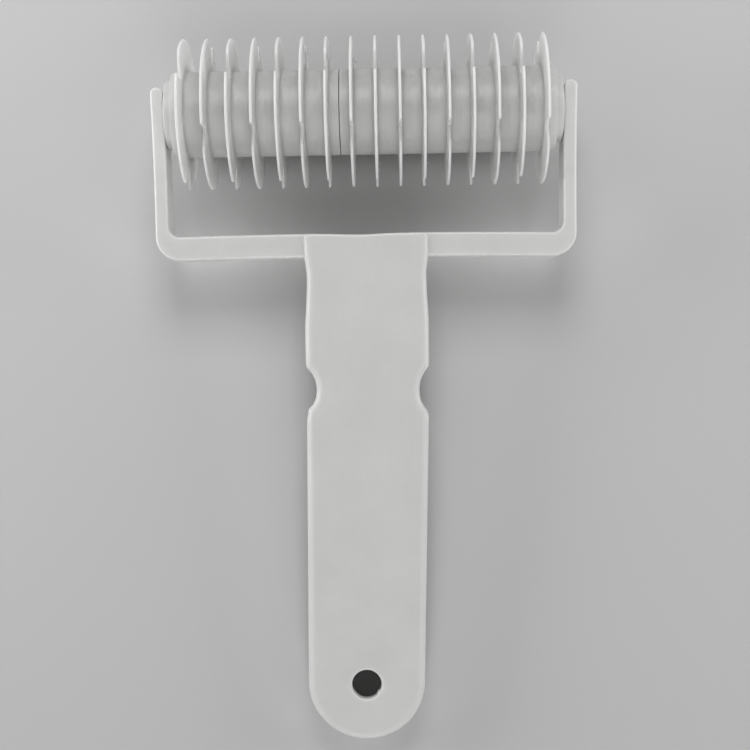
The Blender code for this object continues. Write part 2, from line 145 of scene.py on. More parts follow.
# Handle
HANDLE_TOP = 6.5 * MM
HANDLE_END_RADIUS = 16.63 * MM
HANDLE_SET_BACK = 0.08 * MM
NECK_HALF_WIDTH = 17.70 * MM
NECK_PINCH = 0.75 * MM
NECK_START = 38.6 * MM
NECK_PLACE = 46.5 * MM
NECK_STOP = 61.0 * MM
NECK_SHIFT = 0.19 * MM
NECK_LEFT_DENT = 0.2 * MM
NECK_LEFT_DENT_PLACE = 56.5 * MM
NECK_LEFT_DENT_REACH = 4.8 * MM
HANDLE_OFFSET = -0.23 * MM
GRIP_LEAN = -0.0217
GRIP_LEAN_START = 79.5 * MM
# Finger notches: distance from the roller's axis, radius and depth
LEFT_NOTCH = (77.95 * MM, 7.9 * MM, 2.86 * MM)
RIGHT_NOTCH = (78.75 * MM, 9.4 * MM, 2.75 * MM)
MIDDLE_NOTCH = (77.9 * MM, 7.8 * MM, 2.95 * MM)  # what the hollow back follows on both sides
FINGER_NOTCH_BLEND = 2.6 * MM
LEDGE_PLACE = 83.3 * MM
LEDGE_SHAPE = np.array([  # distance past the ledge and depth of the side there, in millimetres
    (-4.1, 0.0), (-3.0, 0.10), (-1.8, 0.15), (-0.7, 0.18), (-0.15, 0.25), (0.1, 0.0), (0.4, 0.12),
    (1.0, 0.30), (1.6, 0.36), (2.2, 0.24), (2.8, 0.10), (3.4, 0.0),
]) * MM
HANDLE_EDGE_ROUND = 1.9 * MM
HANDLE_LOW_ROUND = 0.3 * MM
HANDLE_CORNER_RADIUS = 2.3 * MM
HANDLE_CORNER_GAP = 0.3 * MM  # between a front corner's arc and the side's first point
FRONT_BLEND_START = 0.6 * MM  # past the crossbar's near face, where the edge rounding begins to grow
FRONT_BLEND = 1.4 * MM
SPINE_START = 44 * MM
SPINE_STEP = 1.5 * MM
CAP_ANGLES = (180.6, 358.3)  # of the round end, in degrees
HOLE_RADIUS = 4.2 * MM
HOLE_DISTANCE = 162.1 * MM
HOLE_EDGE_ROUND = 0.5 * MM
HOLE_NICK = 0.35 * MM  # a crumb of flash on the hole's wall
HOLE_NICK_PLACE = math.radians(-38)
HOLE_NICK_WIDTH = math.radians(6)

# Hollow back
TOP_WALL = 3.0 * MM
SIDE_WALL = 2.4 * MM
RIB_THICKNESS = 1.8 * MM
RIB_RECESS = 1.2 * MM
CELL_CORNER_RADIUS = 1.2 * MM
CELL_CEILING_FILLET = 0.6 * MM
CELL_LEDGE = 0.3 * MM
CELL_STATION = 0.9 * MM  # between the points of a cell's side
CELL_BLEND = CELL_CEILING_FILLET + DRAFT + 0.5 * MM  # at a notch, so that the fillet can't fold over
RIB_DISTANCES = np.array([70.1, 85.7, 107.52, 129.33, 151.15]) * MM
CUTTER_MARGIN = 2.0 * MM

# Finishes: sizes and depths of what the plastic's skin shows
FRAME_WHITE = (0.765, 0.765, 0.757)
WHEEL_WHITE = (0.77, 0.77, 0.760)
HUB_PAINTED_SHADE = (0.87, 0.87, 0.87, 1.0)  # painted shade on the hubs, as shares of the wheels' colour
# painted light on the blades, as shares of the wheels' colour
BLADE_PAINTED_LIGHT = (1.14, 1.14, 1.14, 1.0)
FLOOR_GREY = (0.63, 0.63, 0.63)
MOTTLE_SIZE = 14 * MM
MOTTLE_DEPTH = 0.02
GRAIN_SIZE = 0.35 * MM
GRAIN_HEIGHT = 0.006 * MM
# patch size of the edge wear and its painted highlight
WEAR_AND_HIGHLIGHT_PATCH = 2.5 * MM
SCUFF_WIDTH = 1.6 * MM
SCUFF_HEIGHT = 0.004 * MM
TURNED_LINE_SIZE = 0.35 * MM
TURNED_LINE_HEIGHT = 0.01 * MM
DUST = (0.90, 0.895, 0.88)  # what settles in corners, as shares of the plastic's colour
RELIEF_SCALE = 0.6 * MM
GLOW = 1.0  # share of the light that wanders inside the plastic, which lets thin blades glow
HUB_GLOW = 0.2  # the same on the hubs, whose hidden end faces would swallow it

FLAT_RING = 0.03  # share of a flat stretch after which the first ring past its rounded end lies

# Camera: the photograph's own view
VIEW_LENS = 64.63
VIEW_SENSOR = 36.0
VIEW_ROLL = 0.0180
VIEW_PITCH = math.radians(2.5)
VIEW_YAW = -0.0123
ROLLER_FROM_LENS = np.array([-3.121, 74.41, -381.10]) * MM

# Lamps: name, bearing and elevation in degrees, distance, size and power
WORLD_LIGHT = 0.03
BACKDROP = 0.5  # what the camera sees beyond the floor
FLOOR_REACH = 2.0
FLOOR_FADE_START = 0.22  # distances from the object, past what the photograph's view shows
FLOOR_FADE_END = 0.6
SOFTBOXES = [
    ("softbox_left", 180, 15, 0.5, 0.25, 1.0),
    ("softbox_right", 0, 15, 0.5, 0.25, 0.75),
    ("softbox_left_back", 140, 18, 0.5, 0.25, 0.5),
    ("softbox_right_back", 40, 18, 0.5, 0.25, 0.2),
    ("softbox_back_low", 90, 20, 0.5, 0.25, 0.1),
    ("softbox_back_high", 90, 55, 0.5, 0.25, 0.92),
    ("softbox_left_front_high", 222, 42, 0.7, 0.35, 0.4),
    ("softbox_right_front_high", 318, 42, 0.7, 0.35, 0.65),
    ("softbox_front_low", 270, 14, 1.0, 0.5, 2.0),
    ("softbox_front_high", 270, 40, 1.0, 0.5, 1.1),
]

HANDLE_END_CENTRE = HANDLE_END - HANDLE_END_RADIUS


# Surface kit


def grid_quads(rows, columns, wrap_rows=False, wrap_columns=True):
    """Quads between neighbouring points of a grid whose last row or column may join the first."""
    i = np.arange(rows if wrap_rows else rows - 1)
    j = np.arange(columns if wrap_columns else columns - 1)
    i, j = np.meshgrid(i, j, indexing="ij")
    i_next, j_next = (i + 1) % rows, (j + 1) % columns
    corners = [i * columns + j, i * columns + j_next, i_next * columns + j_next, i_next * columns + j]
    return np.stack(corners, axis=-1).reshape(-1, 4)


def mesh_from(name, points, quads):
    """A mesh of quads, with points that fall together welded."""
    mesh = bpy.data.meshes.new(name)
    mesh.vertices.add(len(points))
    mesh.vertices.foreach_set("co", points.astype(np.float32).ravel())
    mesh.loops.add(quads.size)
    mesh.loops.foreach_set("vertex_index", quads.astype(np.int32).ravel())
    mesh.polygons.add(len(quads))
    mesh.polygons.foreach_set("loop_start", np.arange(0, quads.size, 4, dtype=np.int32))
    mesh.update(calc_edges=True)
    weld(mesh, 1e-6)
    return mesh


def weld(mesh, distance):
    work = bmesh.new()
    work.from_mesh(mesh)
    bmesh.ops.remove_doubles(work, verts=work.verts, dist=distance)
    work.to_mesh(mesh)
    work.free()
    mesh.update()


def grid_mesh(name, grid, wrap_rows=False, wrap_columns=True):
    """A mesh over an array of points with shape (rows, columns, 3)."""
    rows, columns = grid.shape[:2]
    quads = grid_quads(rows, columns, wrap_rows, wrap_columns)
    return mesh_from(name, grid.reshape(-1, 3), quads)


def add_object(name, mesh):
    made = bpy.data.objects.new(name, mesh)
    bpy.context.scene.collection.objects.link(made)
    return made


def face_outwards(mesh):
    work = bmesh.new()
    work.from_mesh(mesh)
    bmesh.ops.recalc_face_normals(work, faces=work.faces)
    work.to_mesh(mesh)
    work.free()


def evaluated_mesh(thing):
    bpy.context.view_layer.update()
    graph = bpy.context.evaluated_depsgraph_get()
    return bpy.data.meshes.new_from_object(thing.evaluated_get(graph))


def boolean(target, tool, operation):
    """Joins the tool to the target or cuts it out, and removes the tool."""
    modifier = target.modifiers.new(tool.name, "BOOLEAN")
    modifier.operation = operation
    modifier.solver = "EXACT"
    modifier.object = tool
    result = evaluated_mesh(target)
    target.modifiers.clear()
    target.data = result
    weld(result, 2e-6)
    bpy.data.objects.remove(tool, do_unlink=True)


def smooth(mesh, sharp_above=35):
    mesh.shade_smooth()
    mesh.set_sharp_from_angle(angle=math.radians(sharp_above))


def lay_in_world(mesh, tilt):
    """Turns a mesh from the tool's frame into the world, about the roller's axis."""
    place = Matrix.Translation(ROLLER_AXIS.tolist()) @ Matrix.Rotation(tilt, 4, "X")
    mesh.transform(place)


def loop_normals(points):
    """Unit normals of a closed run of plane points, to the left of the way along it."""
    along = np.roll(points, -1, axis=0) - np.roll(points, 1, axis=0)
    along /= np.linalg.norm(along, axis=1, keepdims=True)
    return np.stack([-along[:, 1], along[:, 0]], axis=1)


def arc(centre, radius, start, end, count):
    """Points on a plane circle between two angles in degrees, ends included."""
    angle = np.radians(np.linspace(start, end, count))
    return np.stack([centre[0] + radius * np.cos(angle), centre[1] + radius * np.sin(angle)], axis=1)


def rounded_corner(before, corner, after, radius, count):
    """The arc of a given radius that touches both edges of a plane corner."""
    a, b = before - corner, after - corner
    a, b = a / np.linalg.norm(a), b / np.linalg.norm(b)
    half = math.acos(np.clip(a @ b, -1, 1)) / 2
    middle = (a + b) / np.linalg.norm(a + b)
    centre = corner + middle * radius / math.sin(half)
    first = corner + a * radius / math.tan(half) - centre
    last = corner + b * radius / math.tan(half) - centre
    share = np.linspace(0, 1, count)[:, None]
    sweep = math.acos(np.clip(first @ last / radius**2, -1, 1))
    weights = np.sin((1 - share) * sweep), np.sin(share * sweep)
    return centre + (weights[0] * first + weights[1] * last) / math.sin(sweep)


def plate(name, outline, spine, low, high, top_round, low_round, draft=0.0, dent=0.0, fill=3, steps=8):
    """A closed plate over a plane outline that runs anticlockwise.

    Its wall follows the outline, leans inwards by the draft, and turns into the
    flat faces through quarter circles; each face runs straight from the wall's
    ring to the spine point that belongs to the ring's point. A dent presses the
    wall in, and fades out over the upper quarter circle.
    """
    inward = loop_normals(outline)
    top_round = np.broadcast_to(top_round, len(outline))
    rings, heights = [], []

    def add(inset, height, share=0.0):
        ring = outline + inward * np.reshape(inset, (-1, 1))
        rings.append(ring * (1 - share) + spine * share)
        heights.append(np.broadcast_to(height, len(outline)))

    for share in np.linspace(1, 0, fill + 1)[:-1]:
        add(low_round, low, share)
    for angle in np.linspace(0, math.pi / 2, 5):
        add(low_round * (1 - math.sin(angle)) + dent, low + low_round * (1 - math.cos(angle)))
    wall_foot, wall_height = low + low_round, high - top_round - low - low_round
    for share in (FLAT_RING, 1 - FLAT_RING):
        add(draft * share + dent, wall_foot + wall_height * share)
    for angle in np.linspace(0, math.pi / 2, steps):
        inset = draft + top_round * (1 - math.cos(angle)) + dent * math.cos(angle)
        add(inset, high - top_round * (1 - math.sin(angle)))
    add(draft + top_round, high, FLAT_RING)
    for share in np.linspace(FLAT_RING, 1, fill + 1)[1:]:
        add(draft + top_round, high, share)
    grid = np.concatenate([np.array(rings), np.array(heights)[:, :, None]], axis=2)
    return grid_mesh(name, grid)


def turned(name, profile, sides, axis="Z"):
    """A closed solid: a run of (radius, height) points, from the foot up, carried round an axis."""
    profile = np.array(profile)
    angle = np.linspace(0, math.tau, sides, endpoint=False)
    radius, height = profile[:, :1], profile[:, 1:]
    around = radius * np.cos(angle), radius * np.sin(angle)
    along = np.broadcast_to(height, around[0].shape)
    parts = (*around, along) if axis == "Z" else (along, *around)
    return grid_mesh(name, np.stack(parts, axis=2))


# Handle and yoke


def past_neck(distance):
    """1 up to the neck's narrowest place, falling to 0 along a squared cosine."""
    return np.cos(np.clip((distance - NECK_PLACE) / (NECK_STOP - NECK_PLACE), 0, 1) * math.pi / 2) ** 2


def grip_centre(distance):
    """The handle's middle line: shifted a little up to the neck, and drifting sideways past the notches."""
    drift = GRIP_LEAN * np.maximum(0, distance - GRIP_LEAN_START)
    return HANDLE_OFFSET + NECK_SHIFT * past_neck(distance) + drift


def side_half_width(distance):
    """A straight taper from neck to end, less the neck's pinch, which begins quickly and fades slowly."""
    share = (distance - BAR_FAR) / (HANDLE_END_CENTRE - BAR_FAR)
    width = NECK_HALF_WIDTH + (HANDLE_END_RADIUS - NECK_HALF_WIDTH) * share
    begun = np.sin(np.clip((distance - NECK_START) / (NECK_PLACE - NECK_START), 0, 1) * math.pi / 2) ** 2
    return width - NECK_PINCH * begun * past_neck(distance)


def finger_notch(shape, inset=0.0, count=20):
    """Blend, hollow and blend of a finger notch in a straight side at 0: rows of (outwards, distance)."""
    place, radius, depth = shape
    hollow = radius + inset
    blend = max(FINGER_NOTCH_BLEND - inset, CELL_BLEND)
    centre = radius + inset - depth
    reach = math.sqrt((hollow + blend) ** 2 - (centre + blend) ** 2)
    turn = math.degrees(math.atan2(reach, centre + blend))
    into = arc((-blend, place - reach), blend, 0, turn, count)
    dip = arc((0.0, place), hollow, -turn, turn, 4 * count)[1:-1]
    dip[:, 0] = centre - dip[:, 0]
    out = arc((-blend, place + reach), blend, -turn, 0, count)
    return np.concatenate([into, dip, out])


def handle_side(start, inset=0.0, notch_shape=MIDDLE_NOTCH, end=HANDLE_END_CENTRE, spacing=1.0 * MM):
    """One side of the handle from a distance to the end's centre: rows of (half width, distance)."""
    notch = finger_notch(notch_shape, inset)
    runs = []
    for first, last in ((start, notch[0, 1]), (notch[-1, 1], end)):
        distance = np.linspace(first, last, max(2, int((last - first) / spacing)))
        runs.append(np.stack([np.zeros(len(distance)), distance], axis=1))
    outwards, distance = np.concatenate([runs[0][:-1], notch, runs[1][1:]]).T
    return np.stack([side_half_width(distance) - inset + outwards, distance], axis=1)


def bar_shape(x):
    """How far the crossbar's faces lie behind their middle: a bow, a slight skew."""
    return BAR_BOW * (x / HANDLE_BOW_REACH) ** 2 + BAR_SKEW * x


def near_face(x):
    """The crossbar's roller side, with the sink mark where the handle joins."""
    sink = BAR_SINK * np.exp(-(((x - BAR_SINK_PLACE) / BAR_SINK_WIDTH) ** 2))
    return BAR_NEAR + bar_shape(x) + sink


def both_sides(half, distance):
    """The handle's left side on the way to its end, and its right side on the way back."""
    centre = grip_centre(distance)
    left = np.stack([centre - half, -distance], axis=1)
    right = np.stack([centre + half, -distance], axis=1)[::-1]
    return left, right


def round_end(radius, count):
    return arc((grip_centre(HANDLE_END_CENTRE), -HANDLE_END_CENTRE), radius, *CAP_ANGLES, count)


def handle_outline():
    """The handle seen square on: left side, round end, right side and the front over the crossbar."""
    corner = HANDLE_CORNER_RADIUS
    start = BAR_NEAR + HANDLE_SET_BACK + corner + HANDLE_CORNER_GAP
    half, distance = handle_side(start, 0.0, LEFT_NOTCH, spacing=0.4 * MM).T
    dent = NECK_LEFT_DENT * np.exp(-(((distance - NECK_LEFT_DENT_PLACE) / NECK_LEFT_DENT_REACH) ** 2))
    left = both_sides(half, distance)[0] + np.stack([dent, 0 * dent], axis=1)
    right = both_sides(*handle_side(start, 0.0, RIGHT_NOTCH, spacing=0.4 * MM).T)[1]
    cap = round_end(HANDLE_END_RADIUS, 90)
    across = np.linspace(right[-1, 0] - corner, left[0, 0] + corner, 40)
    edge = np.stack([across, -near_face(across) - HANDLE_SET_BACK], axis=1)
    right_corner = rounded_corner(right[-1], np.array([right[-1, 0], edge[0, 1]]), edge[0], corner * 0.9, 7)
    left_corner = rounded_corner(edge[-1], np.array([left[0, 0], edge[-1, 1]]), left[0], corner * 0.9, 7)
    return np.concatenate([left, cap, right[:-1], right_corner, edge[1:-1], left_corner[:-1]])


def grip_spine(outline, near, far, step=0.0):
    """For each outline point, the point of the handle's middle line beside it.

    With a step, longer than the outline's spacing, these points are the nearest
    ones of an even row, so that unlike sides meet in the same points.
    """
    distance = np.clip(-outline[:, 1], near, far)
    if step:
        count = round((far - near) / step)
        distance = near + np.round((distance - near) / (far - near) * count) / count * (far - near)
    return np.stack([grip_centre(distance), -distance], axis=1)


def notch_ledge(outline):
    """How deep the left finger notch's lower end is cut back round its small ledge."""
    past = -outline[:, 1] - LEDGE_PLACE
    return np.where(outline[:, 0] < 0, np.interp(past, *LEDGE_SHAPE.T), 0.0)


def make_handle_blank():
    outline = handle_outline()
    spine = grip_spine(outline, SPINE_START, HANDLE_END_CENTRE, step=SPINE_STEP)
    front = np.clip((-outline[:, 1] - BAR_NEAR - FRONT_BLEND_START) / FRONT_BLEND, 0, 1)
    edge_round = YOKE_EDGE_ROUND + (HANDLE_EDGE_ROUND - YOKE_EDGE_ROUND) * front
    faces = (HANDLE_LOW, HANDLE_TOP, edge_round, HANDLE_LOW_ROUND)
    return plate("handle_blank", outline, spine, *faces, DRAFT, notch_ledge(outline), fill=9, steps=10)


def arm_spread(distance):
    """How far an arm stands out at a distance from the axis, as a bent beam does."""
    reach = ARM_ROOT + ARM_BEYOND_AXIS
    return ARM_SPRING * (np.maximum(0, ARM_ROOT - distance) / reach) ** 2


def yoke_half():
    """Outer and inner edge of the right half of the yoke, from the arm's tip to the middle."""
    root = ARM_INNER_X - arm_spread(0.0)
    mean = root + ARM_THICKNESS / 2
    tip_y = ARM_BEYOND_AXIS - ARM_THICKNESS / 2
    tip_x = mean + arm_spread(-tip_y)
    tip_outer = arc((tip_x, tip_y), ARM_THICKNESS / 2, 90, 0, 14)
    tip_inner = arc((tip_x, tip_y), ARM_THICKNESS / 2, 90, 180, 14)
    r_in, r_out = YOKE_INNER_CORNER_RADIUS, YOKE_CORNER_RADIUS
    outer_x = root + ARM_THICKNESS
    far_y, near_y = -(BAR_FAR + BAR_BOW), -(BAR_NEAR + BAR_BOW)
    share = np.linspace(0, 1, 46)[1:-1]

    def arm(stop, offset):
        y = tip_y + (stop - tip_y) * share
        return np.stack([mean + offset + arm_spread(-y), y], axis=1)

    def bar(centre_x, y):
        x = centre_x * np.linspace(1, 0, 60)[1:]
        return np.stack([x, y + BAR_BOW - BAR_BOW * (x / BAR_BOW_REACH) ** 2], axis=1)

    outer = [
        tip_outer,
        arm(far_y + r_out, ARM_THICKNESS / 2),
        arc((outer_x - r_out, far_y + r_out), r_out, 0, -90, 24),
        bar(outer_x - r_out, far_y),
    ]
    inner = [
        tip_inner,
        arm(near_y + r_in, -ARM_THICKNESS / 2),
        arc((root - r_in, near_y + r_in), r_in, 0, -90, 24),
        bar(root - r_in, near_y),
    ]
    return np.concatenate(outer), np.concatenate(inner)


def skewed(points, sink):
    """Leans the crossbar by its skew, fading out up the arms, and presses in the sink mark."""
    x, y = points.T
    share = np.clip((-y - SKEW_START) / SKEW_RUN, 0, 1)
    share = share * share * (3 - 2 * share)
    mark = sink * np.exp(-(((x - BAR_SINK_PLACE) / BAR_SINK_WIDTH) ** 2))
    return np.stack([x, y - share * (BAR_SKEW * x + mark)], axis=1)


def make_yoke():
    """The U of arms and crossbar: a section with rounded corners carried from tip to tip."""
    outer_half, inner_half = yoke_half()
    mirror = np.array([-1.0, 1.0])
    outer = skewed(np.concatenate([outer_half * mirror, outer_half[-2::-1]]), 0.0)
    inner = skewed(np.concatenate([inner_half * mirror, inner_half[-2::-1]]), BAR_SINK)
    count = len(outer)
    loop = np.concatenate([outer, inner[-2:0:-1]])
    normal = loop_normals(loop)
    outer_in = normal[:count]
    inner_in = np.concatenate([normal[:1], normal[count:][::-1], normal[count - 1 : count]])

    def wall(edge, inward):
        """From the flat underside up the wall to the flat top."""
        pairs = []
        for angle in np.linspace(0, math.pi / 2, 5):
            lift = YOKE_LOW_ROUND * (1 - math.cos(angle))
            pairs.append((YOKE_LOW_ROUND * (1 - math.sin(angle)), lift - YOKE_HALF_DEPTH))
        for share in (FLAT_RING, 1 - FLAT_RING):
            rise = (2 * YOKE_HALF_DEPTH - YOKE_LOW_ROUND - YOKE_EDGE_ROUND) * share
            pairs.append((DRAFT * share, YOKE_LOW_ROUND - YOKE_HALF_DEPTH + rise))
        for angle in np.linspace(0, math.pi / 2, 9):
            drop = YOKE_EDGE_ROUND * (1 - math.sin(angle))
            pairs.append((DRAFT + YOKE_EDGE_ROUND * (1 - math.cos(angle)), YOKE_HALF_DEPTH - drop))
        return [np.column_stack([edge + inward * inset, np.full(count, z)]) for inset, z in pairs]

    outer_wall = wall(outer, outer_in)
    inner_wall = wall(inner, inner_in)

    def across(first, last):
        return [first * (1 - share) + last * share for share in (FLAT_RING, 0.5, 1 - FLAT_RING)]

    rings = outer_wall + across(outer_wall[-1], inner_wall[-1])
    rings += inner_wall[::-1] + across(inner_wall[0], outer_wall[0])
    return grid_mesh("handle_moulding", np.array(rings), wrap_rows=True, wrap_columns=False)


def cell_outline(near, far, inset):
    """One cell of the hollow back, anticlockwise: its sides follow the handle's, its corners are round."""
    r = CELL_CORNER_RADIUS
    half, distance = handle_side(BAR_FAR, inset).T
    stations = np.linspace(near + r, far - r, max(3, int((far - near - 2 * r) / CELL_STATION)))
    left, right = both_sides(np.interp(stations, distance, half), stations)
    corners = [
        arc((left[-1, 0] + r, left[-1, 1]), r, 180, 270, 4),
        arc((right[0, 0] - r, right[0, 1]), r, 270, 360, 4),
        arc((right[-1, 0] - r, right[-1, 1]), r, 0, 90, 4),
        arc((left[0, 0] + r, left[0, 1]), r, 90, 180, 4),
    ]
    return np.concatenate([left[1:-1], corners[0], corners[1], right[1:-1], corners[2], corners[3]])


def hang_cell_outline(near, inset):
    """The last cell, round at the handle's free end."""
    r = CELL_CORNER_RADIUS
    stations = np.linspace(near + r, HANDLE_END_CENTRE, 12)
    left, right = both_sides(side_half_width(stations) - inset, stations)
    cap = round_end(HANDLE_END_RADIUS - inset, 48)
    corners = [
        arc((right[-1, 0] - r, right[-1, 1]), r, 0, 90, 4),
        arc((left[0, 0] + r, left[0, 1]), r, 90, 180, 4),
    ]
    return np.concatenate([left[1:-1], cap, right[1:-1], corners[0], corners[1]])


def join_meshes(name, meshes):
    """One mesh of several that don't touch."""
    work = bmesh.new()
    for mesh in meshes:
        work.from_mesh(mesh)
    joined = bpy.data.meshes.new(name)
    work.to_mesh(joined)
    work.free()
    return joined


def make_back_cells():
    """The cells between the ribs, each a plate with a rounded ceiling."""
    ceiling = HANDLE_TOP - TOP_WALL
    low = HANDLE_LOW - CUTTER_MARGIN
    half = RIB_THICKNESS / 2
    starts = [BAR_FAR + SIDE_WALL + CELL_LEDGE, *(RIB_DISTANCES + half)]
    stops = RIB_DISTANCES - half
    inset = SIDE_WALL + CELL_LEDGE
    outlines = [cell_outline(near, far, inset) for near, far in zip(starts, stops)]
    outlines.append(hang_cell_outline(starts[-1], inset))
    cells = []
    for outline in outlines:
        near, far = -outline[:, 1].max(), -outline[:, 1].min()
        margin = min(6 * MM, (far - near) / 2)
        spine = grip_spine(outline, near + margin, min(far - margin, HANDLE_END_CENTRE))
        cells.append(
            plate("cell", outline, spine, low, ceiling, CELL_CEILING_FILLET, 0.1 * MM, DRAFT, steps=6)
        )
    return join_meshes("back_cells", cells)


def make_back_recess():
    """A shallow step round the whole back, which leaves the ribs lower than the skirt."""
    left, right = both_sides(*handle_side(BAR_FAR + SIDE_WALL, SIDE_WALL).T)
    outline = np.concatenate([left, round_end(HANDLE_END_RADIUS - SIDE_WALL, 48), right])
    spine = grip_spine(outline, 50 * MM, HANDLE_END_CENTRE)
    high = HANDLE_LOW + RIB_RECESS
    return plate("back_recess", outline, spine, HANDLE_LOW - CUTTER_MARGIN, high, 0.1 * MM, 0.1 * MM)


def make_hang_hole():
    """The hanging hole's cutter: a cylinder that opens out at the top, with a nick in its side.

    A circle's arc leads out to 78 degrees and its tangent goes on from there, so
    that the cutter crosses the handle's top at a clear angle. The nick is a bell
    curve over the angle, as deep over the whole height.
    """
    last = math.radians(78)
    profile = [(HOLE_RADIUS, HANDLE_LOW)]
    for angle in np.linspace(0, last, 9):
        out = HOLE_EDGE_ROUND * (1 - math.cos(angle))
        up = HOLE_EDGE_ROUND * math.sin(angle)
        profile.append((HOLE_RADIUS + out, HANDLE_TOP - HOLE_EDGE_ROUND + up))
    wide, high = profile[-1]
    wide, high = wide + 0.6 * MM * math.sin(last), high + 0.6 * MM * math.cos(last)
    profile = np.array(profile + [(wide, high), (wide, high + CUTTER_MARGIN)])
    turn = np.linspace(0, math.tau, 144, endpoint=False)
    away = (turn - HOLE_NICK_PLACE + math.pi) % math.tau - math.pi
    reach = profile[:, :1] - HOLE_NICK * np.exp(-((away / HOLE_NICK_WIDTH) ** 2))
    reach = np.concatenate([0 * reach[:1], reach, 0 * reach[:1]])
    height = np.concatenate([profile[:1, 1], profile[:, 1], profile[-1:, 1]])[:, None]
    x = grip_centre(HOLE_DISTANCE) + reach * np.cos(turn)
    y = reach * np.sin(turn) - HOLE_DISTANCE
    return grid_mesh("hang_hole", np.stack([x, y, height + 0 * x], axis=2))


def make_journal_bores():
    """Round holes through both arms, with a small lead-in at each arm's outer face."""
    bores = []
    for side in (-1, 1):
        outer = ARM_INNER_X + ARM_THICKNESS
        profile = [
            (0.0, ARM_INNER_X - 3 * MM),
            (BORE_RADIUS, ARM_INNER_X - 3 * MM),
            (BORE_RADIUS, outer - 0.25 * MM),
            (BORE_RADIUS + BORE_LEAD_IN, outer + 0.35 * MM),
            (BORE_RADIUS + BORE_LEAD_IN, outer + 3 * MM),
            (0.0, outer + 3 * MM),
        ]
        mesh = turned("bore", profile, 64, axis="X")
        if side < 0:
            mesh.transform(Matrix.Rotation(math.pi, 4, "Z"))
        bores.append(mesh)
    return join_meshes("journal_bores", bores)


def make_handle_moulding(finish):
    body = add_object("handle_moulding", make_yoke())
    boolean(body, add_object("journal_bores", make_journal_bores()), "DIFFERENCE")
    boolean(body, add_object("handle_blank", make_handle_blank()), "UNION")
    boolean(body, add_object("back_recess", make_back_recess()), "DIFFERENCE")
    boolean(body, add_object("back_cells", make_back_cells()), "DIFFERENCE")
    boolean(body, add_object("hang_hole", make_hang_hole()), "DIFFERENCE")
    mesh = body.data
    mesh.name = "handle_moulding"
    lay_in_world(mesh, REST_TILT)
    smooth(mesh)
    mark_relief(mesh)
    mesh.materials.clear()
    mesh.materials.append(finish)
    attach(body, "handle")
    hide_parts("handle_frame")


# Roller


def polar(radius, angle):
    return np.array([radius * math.cos(angle), radius * math.sin(angle)])


def blade_outline():
    """The blade's edge, anticlockwise: three rim arcs, each ending in a ramp, a floor and a steep wall.

    The plane's first axis points up and its second along +Y.
    """
    step = math.tau / NOTCH_COUNT
    wall_top = polar(BLADE_RADIUS, NOTCH_WALL_ANGLE)
    floor = polar(BLADE_RADIUS - NOTCH_DEPTH, NOTCH_WALL_ANGLE - NOTCH_WALL_LEAN)
    ramp_top = polar(BLADE_RADIUS, NOTCH_WALL_ANGLE - NOTCH_SWEEP)
    before = polar(BLADE_RADIUS, NOTCH_WALL_ANGLE - NOTCH_SWEEP - 0.05)
    after = polar(BLADE_RADIUS, NOTCH_WALL_ANGLE + 0.05)
    ramp = rounded_corner(before, ramp_top, floor, NOTCH_RAMP_RADIUS, 6)
    bottom = rounded_corner(ramp_top, floor, wall_top, NOTCH_FLOOR_RADIUS, 9)
    lip = rounded_corner(floor, wall_top, after, NOTCH_LIP_RADIUS, 6)
    share = np.linspace(0, 1, 12)[1:-1, None]
    slope = ramp[-1] * (1 - share) + bottom[0] * share
    wall = bottom[-1] * (1 - share) + lip[0] * share
    start = math.atan2(lip[-1, 1], lip[-1, 0])
    end = math.atan2(ramp[0, 1], ramp[0, 0]) + step
    angle = np.linspace(start, end, 72)[1:-1]
    rim = BLADE_RADIUS * np.stack([np.cos(angle), np.sin(angle)], axis=1)
    section = np.concatenate([ramp, slope, bottom, wall, lip, rim])
    turns = [k * step for k in range(NOTCH_COUNT)]
    spin = [np.array([[math.cos(a), math.sin(a)], [-math.sin(a), math.cos(a)]]) for a in turns]
    return np.concatenate([section @ m for m in spin])


def six_sided(angle, across_flats):
    """Distance from the middle of a hexagon to its edge at each angle."""
    sector = (angle + math.pi / 6) % (math.pi / 3) - math.pi / 6
    return across_flats / 2 / np.cos(sector)


def half_thickness(radius):
    """Half the blade's thickness, tapering straight from the hub to the rim."""
    share = (radius - HUB_RADIUS) / (BLADE_RADIUS - HUB_RADIUS)
    return (ROOT_THICKNESS + (RIM_THICKNESS - ROOT_THICKNESS) * share) / 2


